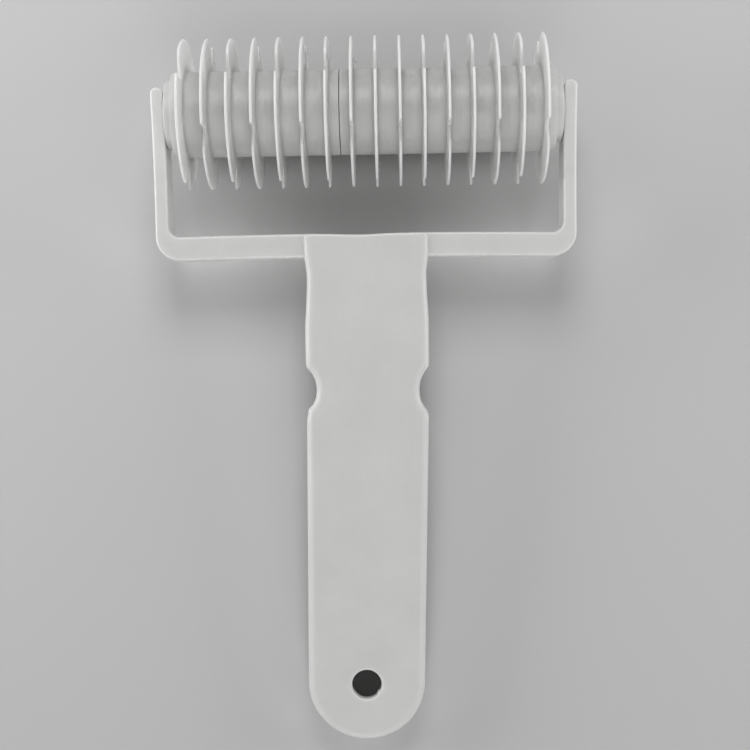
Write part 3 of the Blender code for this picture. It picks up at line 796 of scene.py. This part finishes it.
def wheel_half(outline, hub_radius, half_length):
    """Rings of (x, up, across) from the middle of the rim to the middle of the bore, on one side.

    Rim corner, blade side, root fillet, hub, hub corner, end face and keyed bore
    follow one another; between rim and hub the angle stays that of the outline.
    """
    inward = loop_normals(outline)
    angle = np.arctan2(outline[:, 1], outline[:, 0])
    direction = np.stack([np.cos(angle), np.sin(angle)], axis=1)
    reach = np.linalg.norm(outline, axis=1)
    at_rim = np.clip((reach - BLADE_RADIUS) / (0.5 * MM) + 1, 0, 1)
    edge_round = NOTCH_ROUND + (RIM_ROUND - NOTCH_ROUND) * at_rim
    rings = []

    def ring(x, plane):
        rings.append(np.column_stack([np.broadcast_to(x, len(plane)), plane]))

    for turn in np.linspace(0, math.pi / 2, 6):
        plane = outline + inward * (edge_round * (1 - math.cos(turn)))[:, None]
        edge = half_thickness(np.linalg.norm(plane, axis=1))
        ring(edge - edge_round * (1 - math.sin(turn)), plane)
    side = outline + inward * edge_round[:, None]
    start = np.linalg.norm(side, axis=1)
    root = hub_radius + ROOT_FILLET
    for share in (FLAT_RING, 0.2, 0.4, 0.6, 0.8, 1 - FLAT_RING, 1.0):
        radius = start * (1 - share) + root * share
        plane = side * (1 - share) + direction * root * share
        ring(half_thickness(radius), plane)
    foot = half_thickness(root)
    for turn in np.linspace(0, math.pi / 2, 6)[1:]:
        radius = root - ROOT_FILLET * math.sin(turn)
        ring(foot + ROOT_FILLET * (1 - math.cos(turn)), direction * radius)
    hub_start = foot + ROOT_FILLET
    for share in (FLAT_RING, 4 * FLAT_RING, 0.5, 1 - 4 * FLAT_RING, 1 - FLAT_RING):
        ring(hub_start + (half_length - HUB_EDGE_ROUND - hub_start) * share, direction * hub_radius)
    for turn in np.linspace(0, math.pi / 2, 5):
        radius = hub_radius - HUB_EDGE_ROUND * (1 - math.cos(turn))
        ring(half_length - HUB_EDGE_ROUND * (1 - math.sin(turn)), direction * radius)
    bore = six_sided(angle, KEY_ACROSS_FLATS)[:, None]
    for share in (0.5, 1.0):
        plane = direction * (hub_radius - HUB_EDGE_ROUND) * (1 - share) + direction * bore * share
        ring(half_length, plane)
    ring(half_length / 2, direction * bore)
    return np.array(rings)


def gate_mark(middle, hub_radius, along, angle):
    """A ball that stands into the hub by the mark's depth."""
    turns = np.radians(np.linspace(-90, 90, 25))
    profile = np.stack([GATE_BALL * np.cos(turns), GATE_BALL * np.sin(turns)], axis=1)
    mesh = turned("gate_mark", profile, 48)
    up, across = polar(hub_radius + GATE_BALL - GATE_DEPTH, angle)
    mesh.transform(Matrix.Translation((middle + along, ROLLER_AXIS[1] + across, ROLLER_AXIS[2] + up)))
    return mesh


def make_wheel(index, finish):
    """One wheel: the half's rings, and the same rings mirrored, closed in a ring of rings."""
    node = WHEEL_NODES[index]
    low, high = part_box(node)
    middle, half_length = (low[0] + high[0]) / 2, (high[0] - low[0]) / 2 + HUB_REACH
    chance = np.random.default_rng(100 + index)
    hub_radius = HUB_RADIUS + HUB_STEP * chance.uniform(-1, 1)
    half = wheel_half(blade_outline(), hub_radius, half_length)
    other = half[::-1] * np.array([-1.0, 1.0, 1.0])
    x, up, across = np.moveaxis(np.concatenate([half, other]), -1, 0)
    if index % 2 == 0:
        x, across = -x, -across
    grid = np.stack([middle + x, ROLLER_AXIS[1] + across, ROLLER_AXIS[2] + up], axis=-1)
    mesh = grid_mesh(f"wheel_{index + 1:02d}", grid[:, ::-1], wrap_rows=True)
    wheel = add_object(f"wheel_{index + 1:02d}", mesh)
    if index + 1 in GATE_MARKS:
        mark = gate_mark(middle, hub_radius, *GATE_MARKS[index + 1])
        boolean(wheel, add_object("gate_mark", mark), "DIFFERENCE")
        mesh = wheel.data
        mesh.name = wheel.name
    smooth(mesh, 40)
    mark_relief(mesh)
    mesh.materials.clear()
    mesh.materials.append(finish)
    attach(wheel, "roller")
    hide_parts(node)


def make_collar(name, node, side, finish):
    """A ring with rounded outer corners and a keyed bore."""
    angle = np.linspace(0, math.tau, 144, endpoint=False)
    direction = np.stack([np.cos(angle), np.sin(angle)], axis=1)
    bore = six_sided(angle, KEY_ACROSS_FLATS)
    r = COLLAR_EDGE_ROUND
    turns = np.linspace(0, math.pi / 2, 6)
    inset, rise = r * (1 - np.cos(turns)), r * (1 - np.sin(turns))
    profile = [(COLLAR_INNER_X, None), (COLLAR_INNER_X, COLLAR_RADIUS - r - FLAT_RING * MM)]
    profile += list(zip(COLLAR_INNER_X + inset, COLLAR_RADIUS - rise))
    profile += [(COLLAR_INNER_X + r + k * FLAT_RING * MM, COLLAR_RADIUS) for k in (1, 6)]
    profile += [(COLLAR_OUTER_X - r - k * FLAT_RING * MM, COLLAR_RADIUS) for k in (6, 1)]
    profile += list(zip(COLLAR_OUTER_X - inset[::-1], COLLAR_RADIUS - rise[::-1]))
    profile += [(COLLAR_OUTER_X, COLLAR_RADIUS - r - FLAT_RING * MM), (COLLAR_OUTER_X, None)]
    rings = []
    for x, radius in profile:
        reach = bore if radius is None else np.full(len(angle), radius)
        plane = direction * reach[:, None]
        rings.append(np.column_stack([np.full(len(angle), x), plane]))
    x, up, across = np.moveaxis(np.array(rings), -1, 0)
    grid = np.stack([side * x, ROLLER_AXIS[1] + across, ROLLER_AXIS[2] + up], axis=-1)
    if side < 0:
        grid = grid[:, ::-1]
    mesh = grid_mesh(name, grid[::-1], wrap_rows=True)
    smooth(mesh, 40)
    mark_relief(mesh)
    mesh.materials.append(finish)
    collar = add_object(name, mesh)
    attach(collar, "roller")
    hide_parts(node)


def make_shaft(finish):
    """The six-sided key with a round journal, chamfered at its end, on either side."""
    angle = np.linspace(0, math.tau, 144, endpoint=False)
    key = six_sided(angle, SHAFT_ACROSS_FLATS)
    tip = JOURNAL_RADIUS - JOURNAL_CHAMFER
    half = [
        (0.0, key),
        (COLLAR_OUTER_X, key),
        (COLLAR_OUTER_X, JOURNAL_RADIUS),
        (SHAFT_END_X - JOURNAL_CHAMFER, JOURNAL_RADIUS),
        (SHAFT_END_X, tip),
        (SHAFT_END_X, 0.6 * tip),
        (SHAFT_END_X, 0.0),
    ]
    rows = [(-x, reach) for x, reach in half[:0:-1]] + half
    grid = np.empty((len(rows), len(angle), 3))
    for row, (x, reach) in zip(grid, rows):
        row[:, 0] = x
        row[:, 1] = ROLLER_AXIS[1] + reach * np.sin(angle)
        row[:, 2] = ROLLER_AXIS[2] + reach * np.cos(angle)
    mesh = grid_mesh("keyed_shaft", grid[:, ::-1])
    smooth(mesh, 25)
    mark_relief(mesh)
    mesh.materials.append(finish)
    shaft = add_object("keyed_shaft", mesh)
    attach(shaft, "roller")
    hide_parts("roller_shaft")


def rounded_off(outline, rounds=2):
    """Corner cutting: every edge of a closed outline gives way to its middle half."""
    for _ in range(rounds):
        after = np.roll(outline, -1, axis=0)
        pairs = [0.75 * outline + 0.25 * after, 0.25 * outline + 0.75 * after]
        outline = np.stack(pairs, axis=1).reshape(-1, 2)
    return outline


def carry_to_wall(points, side):
    """Carries (radius, height, depth) onto the upper wall of a wheel, as (x, up, across).

    The radius is met along the straight line of the wall, the height is counted
    from the blade's side and the depth goes square to the wall, into the blade.
    """
    radius, height, depth = points.T
    turn = math.tau / NOTCH_COUNT
    top = polar(BLADE_RADIUS, NOTCH_WALL_ANGLE + turn)
    foot = polar(BLADE_RADIUS - NOTCH_DEPTH, NOTCH_WALL_ANGLE - NOTCH_WALL_LEAN + turn)
    along = (top - foot) / np.linalg.norm(top - foot)
    into = np.array([-along[1], along[0]])
    steps = np.linspace(-1, 8, 90)
    line = foot + along * steps[:, None] * MM
    climb = np.interp(radius, np.linalg.norm(line, axis=1), steps * MM)
    plane = foot + along * climb[:, None] + into * depth[:, None]
    return np.column_stack([side * (half_thickness(radius) + height), plane])


def make_flash(number, crest, finish):
    """A thin flake of flash on the right-hand edge of a notch's wall."""
    low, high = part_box(WHEEL_NODES[number - 1])
    crest = np.array(crest)
    foot = np.array([(crest[-1, 0] + 0.1, FLASH_FOOT), (crest[0, 0] - 0.1, FLASH_FOOT)])
    outline = rounded_off(np.concatenate([foot[1:], crest, foot[:1]]))[::-1] * MM
    faces = (0.0, FLASH_THICKNESS, FLASH_EDGE_ROUND, FLASH_EDGE_ROUND)
    mesh = plate("flake", outline, outline.mean(axis=0), *faces, steps=4)
    points = np.empty(len(mesh.vertices) * 3)
    mesh.vertices.foreach_get("co", points)
    turned_round = -1 if number % 2 else 1
    x, up, across = carry_to_wall(points.reshape(-1, 3), turned_round).T
    x, across = x * turned_round, across * turned_round
    place = np.column_stack([(low[0] + high[0]) / 2 + x, ROLLER_AXIS[1] + across, ROLLER_AXIS[2] + up])
    mesh.vertices.foreach_set("co", place.ravel())
    face_outwards(mesh)
    smooth(mesh, 60)
    mark_relief(mesh)
    mesh.materials.append(finish)
    flake = add_object(f"flash_{number:02d}", mesh)
    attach(flake, "roller")


# Finishes


def wire(tree, socket, value):
    """Links a socket to an output, or gives it a plain value."""
    if isinstance(value, bpy.types.NodeSocket):
        tree.links.new(value, socket)
    else:
        socket.default_value = value


def add_node(tree, kind, inputs, **settings):
    """A node with its settings made and its inputs, by name or number, wired or filled."""
    node = tree.nodes.new(kind)
    for name, value in settings.items():
        setattr(node, name, value)
    for name, value in inputs.items():
        wire(tree, node.inputs[name], value)
    return node


def reckon(tree, operation, *terms):
    node = add_node(tree, "ShaderNodeMath", dict(enumerate(terms)), operation=operation)
    return node.outputs["Value"]


def spread(tree, value, low, high, to_low=0.0, to_high=1.0):
    """Carries a value from one range to another and holds it inside."""
    ranges = {"Value": value, "From Min": low, "From Max": high, "To Min": to_low, "To Max": to_high}
    return add_node(tree, "ShaderNodeMapRange", ranges).outputs["Result"]


def tint(tree, share, first, second):
    """The first colour at share 0 and the second at share 1."""
    inputs = {"Factor": share, 6: first, 7: second}
    return add_node(tree, "ShaderNodeMix", inputs, data_type="RGBA").outputs[2]


def cloud(tree, place, size, detail=2.0, roughness=0.5):
    """Soft noise with patches of about the given size in metres."""
    scale = reckon(tree, "DIVIDE", 1.0, size)
    inputs = {"Vector": place, "Scale": scale, "Detail": detail, "Roughness": roughness}
    return add_node(tree, "ShaderNodeTexNoise", inputs).outputs["Fac"]


def stretched(tree, place, factors, turn=0.0):
    """The place turned about the upright and stretched, so that a pattern on it runs along one way."""
    inputs = {"Vector": place, "Rotation": (0.0, 0.0, turn), "Scale": factors}
    return add_node(tree, "ShaderNodeMapping", inputs).outputs["Vector"]


def new_group(name, inputs, outputs):
    """An empty node group with its sockets; returns the tree, its entry and its exit."""
    tree = bpy.data.node_groups.new(name, "ShaderNodeTree")
    for socket, kind in inputs.items():
        tree.interface.new_socket(socket, in_out="INPUT", socket_type=kind)
    for socket, kind in outputs.items():
        tree.interface.new_socket(socket, in_out="OUTPUT", socket_type=kind)
    return tree, tree.nodes.new("NodeGroupInput"), tree.nodes.new("NodeGroupOutput")


def use_group(tree, group, inputs):
    node = tree.nodes.new("ShaderNodeGroup")
    node.node_tree = group
    for name, value in inputs.items():
        wire(tree, node.inputs[name], value)
    return node.outputs[0]


def make_flow_mottle():
    """Where the melt cooled unevenly: broad patches with weaker small ones over them."""
    tree, entry, leave = new_group(
        "flow_mottle",
        {"Place": "NodeSocketVector", "Patch Size": "NodeSocketFloat"},
        {"Shade": "NodeSocketFloat"},
    )
    place, size = entry.outputs["Place"], entry.outputs["Patch Size"]
    broad = cloud(tree, place, size, 3.0)
    small = cloud(tree, place, reckon(tree, "MULTIPLY", size, 0.22), 4.0, 0.6)
    both = reckon(tree, "ADD", reckon(tree, "MULTIPLY", broad, 0.65), reckon(tree, "MULTIPLY", small, 0.35))
    wire(tree, leave.inputs["Shade"], spread(tree, both, 0.36, 0.64))
    return tree


def make_moulded_grain():
    """The fine skin that a blasted mould leaves, over a faint waviness."""
    tree, entry, leave = new_group(
        "moulded_grain",
        {"Place": "NodeSocketVector", "Grain Size": "NodeSocketFloat"},
        {"Height": "NodeSocketFloat"},
    )
    place, size = entry.outputs["Place"], entry.outputs["Grain Size"]
    fine = cloud(tree, place, size, 2.0, 0.7)
    wave = cloud(tree, place, reckon(tree, "MULTIPLY", size, 14.0), 1.0)
    both = reckon(tree, "ADD", fine, reckon(tree, "MULTIPLY", wave, 4.0))
    wire(tree, leave.inputs["Height"], both)
    return tree


def make_edge_wear_and_highlight():
    """Rubbed edges, with painted highlight on them: the relief of the piece above a threshold that wanders
    over it.
    """
    tree, entry, leave = new_group(
        "edge_wear",
        {"Place": "NodeSocketVector", "Relief": "NodeSocketFloat", "Break Up": "NodeSocketFloat"},
        {"Wear": "NodeSocketFloat"},
    )
    patches = cloud(tree, entry.outputs["Place"], entry.outputs["Break Up"], 4.0, 0.6)
    raised = reckon(tree, "ADD", entry.outputs["Relief"], spread(tree, patches, 0.3, 0.7, -0.08, 0.08))
    wire(tree, leave.inputs["Wear"], spread(tree, raised, 0.1, 0.9))
    return tree


def make_scuffs():
    """Hairline scratches in two directions: the narrow crests of noise drawn out along a line."""
    tree, entry, leave = new_group(
        "scuffs",
        {"Place": "NodeSocketVector", "Width": "NodeSocketFloat"},
        {"Scuff": "NodeSocketFloat"},
    )
    lines = []
    for turn, stretch in ((0.35, 0.03), (-0.9, 0.045)):
        drawn = stretched(tree, entry.outputs["Place"], (1.0, stretch, 1.0), turn)
        noise = cloud(tree, drawn, entry.outputs["Width"], 1.0)
        off_crest = reckon(tree, "ABSOLUTE", reckon(tree, "SUBTRACT", noise, 0.66))
        lines.append(spread(tree, off_crest, 0.0, 0.012, 1.0, 0.0))
    wire(tree, leave.inputs["Scuff"], reckon(tree, "MAXIMUM", *lines))
    return tree


def start_material(name, colour, roughness):
    """A material whose shader has the plain values; returns it with its tree and shader."""
    made = bpy.data.materials.new(name)
    made.use_nodes = True
    shader = made.node_tree.nodes["Principled BSDF"]
    shader.inputs["Base Color"].default_value = (*colour, 1.0)
    shader.inputs["Roughness"].default_value = roughness
    return made, made.node_tree, shader


def outside_hub(tree, place):
    """0 on the hubs and 1 on the blades, from the distance to the roller's axis."""
    def vector_math(operation, output, *terms):
        node = add_node(tree, "ShaderNodeVectorMath", dict(enumerate(terms)), operation=operation)
        return node.outputs[output]

    off_axis = vector_math("SUBTRACT", "Vector", place, (0.0, *ROLLER_AXIS[1:]))
    across = vector_math("MULTIPLY", "Vector", off_axis, (0.0, 1.0, 1.0))
    length = vector_math("LENGTH", "Value", across)
    return spread(tree, length, HUB_RADIUS + 0.1 * MM, HUB_RADIUS + 2.5 * MM)


def make_moulded_white(name, groups, colour, roughness, light_reach, worn_and_lit, turned_lines=0.0):
    """White moulded plastic: mottled, grained, scuffed, and lighter by a factor on edges, for wear and as
    painted highlight.

    Turned lines are fine rings round the roller, of noise in the place along it.
    With them the hubs carry painted shade and the thin blades, outside the hubs'
    radius, painted light; the blades also let more light wander inside.
    """
    made, tree, shader = start_material(name, colour, roughness)
    place = add_node(tree, "ShaderNodeTexCoord", {}).outputs["Object"]
    relief = add_node(tree, "ShaderNodeAttribute", {}, attribute_name="relief").outputs["Fac"]
    mottle = use_group(tree, groups["mottle"], {"Place": place, "Patch Size": MOTTLE_SIZE})
    grain = use_group(tree, groups["grain"], {"Place": place, "Grain Size": GRAIN_SIZE})
    wear = use_group(tree, groups["wear"], {"Place": place, "Relief": relief, "Break Up": WEAR_AND_HIGHLIGHT_PATCH})
    scuff = use_group(tree, groups["scuffs"], {"Place": place, "Width": SCUFF_WIDTH})
    dust = spread(tree, relief, -0.9, -0.1, 1.0, 0.0)

    shade = lambda factor: (*(c * factor for c in colour), 1.0)
    look = tint(tree, mottle, shade(1 - MOTTLE_DEPTH), shade(1 + MOTTLE_DEPTH))
    # edges lighter for wear and as painted highlight
    look = tint(tree, wear, look, shade(worn_and_lit))
    look = tint(tree, reckon(tree, "MULTIPLY", scuff, 0.35), look, shade(1.07))
    dusty = (*(c * f for c, f in zip(colour, DUST)), 1.0)
    look = tint(tree, reckon(tree, "MULTIPLY", dust, 0.5), look, dusty)
    height = reckon(tree, "MULTIPLY", grain, GRAIN_HEIGHT)
    height = reckon(tree, "SUBTRACT", height, reckon(tree, "MULTIPLY", scuff, SCUFF_HEIGHT))
    if turned_lines:
        along = add_node(tree, "ShaderNodeSeparateXYZ", {"Vector": place}).outputs["X"]
        inputs = {"W": along, "Scale": 1 / TURNED_LINE_SIZE, "Detail": 4.0, "Roughness": 0.65}
        lines = add_node(tree, "ShaderNodeTexNoise", inputs, noise_dimensions="1D").outputs["Fac"]
        look = tint(tree, spread(tree, lines, 0.3, 0.45, turned_lines, 0.0), look, shade(0.9))
        on_blade = outside_hub(tree, place)
        # painted shade on the hubs and painted light on the blades, multiplied into the colour
        painted_light_mix = {"Factor": 1.0, 6: look, 7: tint(tree, on_blade, HUB_PAINTED_SHADE, BLADE_PAINTED_LIGHT)}
        look = add_node(tree, "ShaderNodeMix", painted_light_mix, data_type="RGBA", blend_type="MULTIPLY").outputs[2]
        wire(tree, shader.inputs["Subsurface Weight"], spread(tree, on_blade, 0.0, 1.0, HUB_GLOW, GLOW))
        height = reckon(tree, "ADD", height, reckon(tree, "MULTIPLY", lines, TURNED_LINE_HEIGHT))
    bump = add_node(tree, "ShaderNodeBump", {"Height": height, "Distance": 1.0, "Strength": 1.0})
    rough = spread(tree, mottle, 0.0, 1.0, roughness - 0.04, roughness + 0.04)
    rough = reckon(tree, "SUBTRACT", rough, reckon(tree, "MULTIPLY", wear, 0.08))
    rough = reckon(tree, "ADD", rough, reckon(tree, "MULTIPLY", dust, 0.15))
    shader.inputs["Subsurface Weight"].default_value = GLOW
    shader.inputs["Subsurface Radius"].default_value = (1.0, 1.0, 1.0)
    shader.inputs["Subsurface Scale"].default_value = light_reach
    wire(tree, shader.inputs["Base Color"], look)
    wire(tree, shader.inputs["Roughness"], rough)
    wire(tree, shader.inputs["Normal"], bump.outputs["Normal"])
    return made


def make_floor_paper():
    """Pale studio paper with a faint tooth.

    The lamps reach only a little way out. Past that the camera sees the floor fade
    into the backdrop's grey, which casts no light on the object.
    """
    made, tree, shader = start_material("floor_paper", FLOOR_GREY, 0.85)
    place = add_node(tree, "ShaderNodeTexCoord", {}).outputs["Object"]
    tooth = cloud(tree, place, 0.6 * MM, 3.0, 0.6)
    drift = cloud(tree, place, 60 * MM, 1.0)
    light = (*(c * 1.01 for c in FLOOR_GREY), 1.0)
    dark = (*(c * 0.99 for c in FLOOR_GREY), 1.0)
    height = reckon(tree, "MULTIPLY", tooth, 0.01 * MM)
    bump = add_node(tree, "ShaderNodeBump", {"Height": height, "Distance": 1.0, "Strength": 1.0})
    wire(tree, shader.inputs["Base Color"], tint(tree, drift, dark, light))
    wire(tree, shader.inputs["Normal"], bump.outputs["Normal"])
    away = add_node(tree, "ShaderNodeVectorMath", {0: place}, operation="LENGTH").outputs["Value"]
    seen = add_node(tree, "ShaderNodeLightPath", {}).outputs["Is Camera Ray"]
    share = reckon(tree, "MULTIPLY", spread(tree, away, FLOOR_FADE_START, FLOOR_FADE_END), seen)
    plain = add_node(tree, "ShaderNodeEmission", {"Color": (1.0, 1.0, 1.0, 1.0), "Strength": BACKDROP})
    surfaces = {"Fac": share, 1: shader.outputs["BSDF"], 2: plain.outputs["Emission"]}
    faded = add_node(tree, "ShaderNodeMixShader", surfaces)
    wire(tree, tree.nodes["Material Output"].inputs["Surface"], faded.outputs["Shader"])
    return made


def mark_relief(mesh):
    """Stores how sharply each point stands out, from 1 on a tight edge to -1 in a tight corner.

    Along every mesh edge the turn of the normals, divided by the edge's length,
    is the surface's curvature that way. A point takes the largest of its edges'
    curvatures and the smallest, each times the relief scale and held within 1,
    and their sum is then evened out with its neighbours' values.
    """
    count = len(mesh.vertices)
    points, normals = np.empty(count * 3), np.empty(count * 3)
    ends = np.empty(len(mesh.edges) * 2, dtype=np.int64)
    mesh.vertices.foreach_get("co", points)
    mesh.vertex_normals.foreach_get("vector", normals)
    mesh.edges.foreach_get("vertices", ends)
    points, normals, (a, b) = points.reshape(-1, 3), normals.reshape(-1, 3), ends.reshape(-1, 2).T
    along = points[b] - points[a]
    turn = ((normals[b] - normals[a]) * along).sum(axis=1) / np.maximum((along**2).sum(axis=1), 1e-12)
    convex, concave = np.zeros(count), np.zeros(count)
    for end in (a, b):
        np.maximum.at(convex, end, turn)
        np.minimum.at(concave, end, turn)
    relief = np.clip(convex * RELIEF_SCALE, 0, 1) - np.clip(-concave * RELIEF_SCALE, 0, 1)
    for _ in range(2):
        total, shares = relief.copy(), np.ones(count)
        for end, other in ((a, b), (b, a)):
            np.add.at(total, end, relief[other])
            np.add.at(shares, end, 1.0)
        relief = total / shares
    mesh.attributes.new("relief", "FLOAT", "POINT").data.foreach_set("value", relief.astype(np.float32))


def make_camera():
    """Stands where the photograph was taken from, with its lens."""
    data = bpy.data.cameras.new("photo_view")
    data.lens = VIEW_LENS
    data.sensor_width = VIEW_SENSOR
    camera = bpy.data.objects.new("photo_view", data)
    bpy.context.scene.collection.objects.link(camera)
    turn = (
        Matrix.Rotation(VIEW_ROLL, 3, "Z")
        @ Matrix.Rotation(VIEW_PITCH, 3, "X")
        @ Matrix.Rotation(VIEW_YAW, 3, "Y")
    )
    to_world = Matrix.Rotation(REST_TILT, 3, "X") @ turn.transposed()
    place = np.array(to_world) @ -ROLLER_FROM_LENS + ROLLER_AXIS
    camera.matrix_world = Matrix.Translation(place.tolist()) @ to_world.to_4x4()
    bpy.context.scene.camera = camera


def make_floor():
    mesh = bpy.data.meshes.new("floor")
    corners = [(x * FLOOR_REACH, y * FLOOR_REACH, 0) for x, y in ((-1, -1), (1, -1), (1, 1), (-1, 1))]
    mesh.from_pydata(corners, [], [(0, 1, 2, 3)])
    floor = add_object("floor", mesh)
    floor.data.materials.append(make_floor_paper())


def add_softbox(name, bearing, elevation, distance, size, power):
    """A square lamp on a circle round the roller, which it faces; bearing 0 is to the right."""
    data = bpy.data.lights.new(name, "AREA")
    data.shape = "SQUARE"
    data.size = size
    data.energy = power
    lamp = bpy.data.objects.new(name, data)
    bpy.context.scene.collection.objects.link(lamp)
    side, up = math.radians(bearing), math.radians(elevation)
    way = Vector((math.cos(side) * math.cos(up), math.sin(side) * math.cos(up), math.sin(up)))
    lamp.location = Vector(ROLLER_AXIS.tolist()) + way * distance
    lamp.visible_camera = False
    lamp.rotation_euler = way.to_track_quat("Z", "Y").to_euler()


def make_lights():
    """A ring of soft lamps round the roller, and a dim even world that the camera sees as pale grey."""
    world = bpy.data.worlds.new("studio")
    world.use_nodes = True
    tree, background = world.node_tree, world.node_tree.nodes["Background"]
    background.inputs["Color"].default_value = (1, 1, 1, 1)
    seen = add_node(tree, "ShaderNodeLightPath", {}).outputs["Is Camera Ray"]
    wire(tree, background.inputs["Strength"], spread(tree, seen, 0.0, 1.0, WORLD_LIGHT, BACKDROP))
    bpy.context.scene.world = world
    for name, bearing, elevation, distance, size, power in SOFTBOXES:
        add_softbox(name, bearing, elevation, distance, size, power)


make_camera()
make_floor()
make_lights()
groups = {
    "mottle": make_flow_mottle(),
    "grain": make_moulded_grain(),
    "wear": make_edge_wear_and_highlight(),
    "scuffs": make_scuffs(),
}
frame_finish = make_moulded_white(
    "frame_white", groups, FRAME_WHITE, roughness=0.36, light_reach=1.3 * MM, worn_and_lit=1.05
)
wheel_finish = make_moulded_white(
    "wheel_white", groups, WHEEL_WHITE, roughness=0.40, light_reach=3.0 * MM, worn_and_lit=1.03, turned_lines=0.4
)
make_handle_moulding(frame_finish)
for wheel_index in range(len(WHEEL_NODES)):
    make_wheel(wheel_index, wheel_finish)
make_collar("collar_left", "end_collar_left", -1, wheel_finish)
make_collar("collar_right", "end_collar_right", 1, wheel_finish)
make_shaft(wheel_finish)
for wheel_number, crest in FLASHES.items():
    make_flash(wheel_number, crest, wheel_finish)
bpy.context.scene.view_settings.view_transform = "Standard"
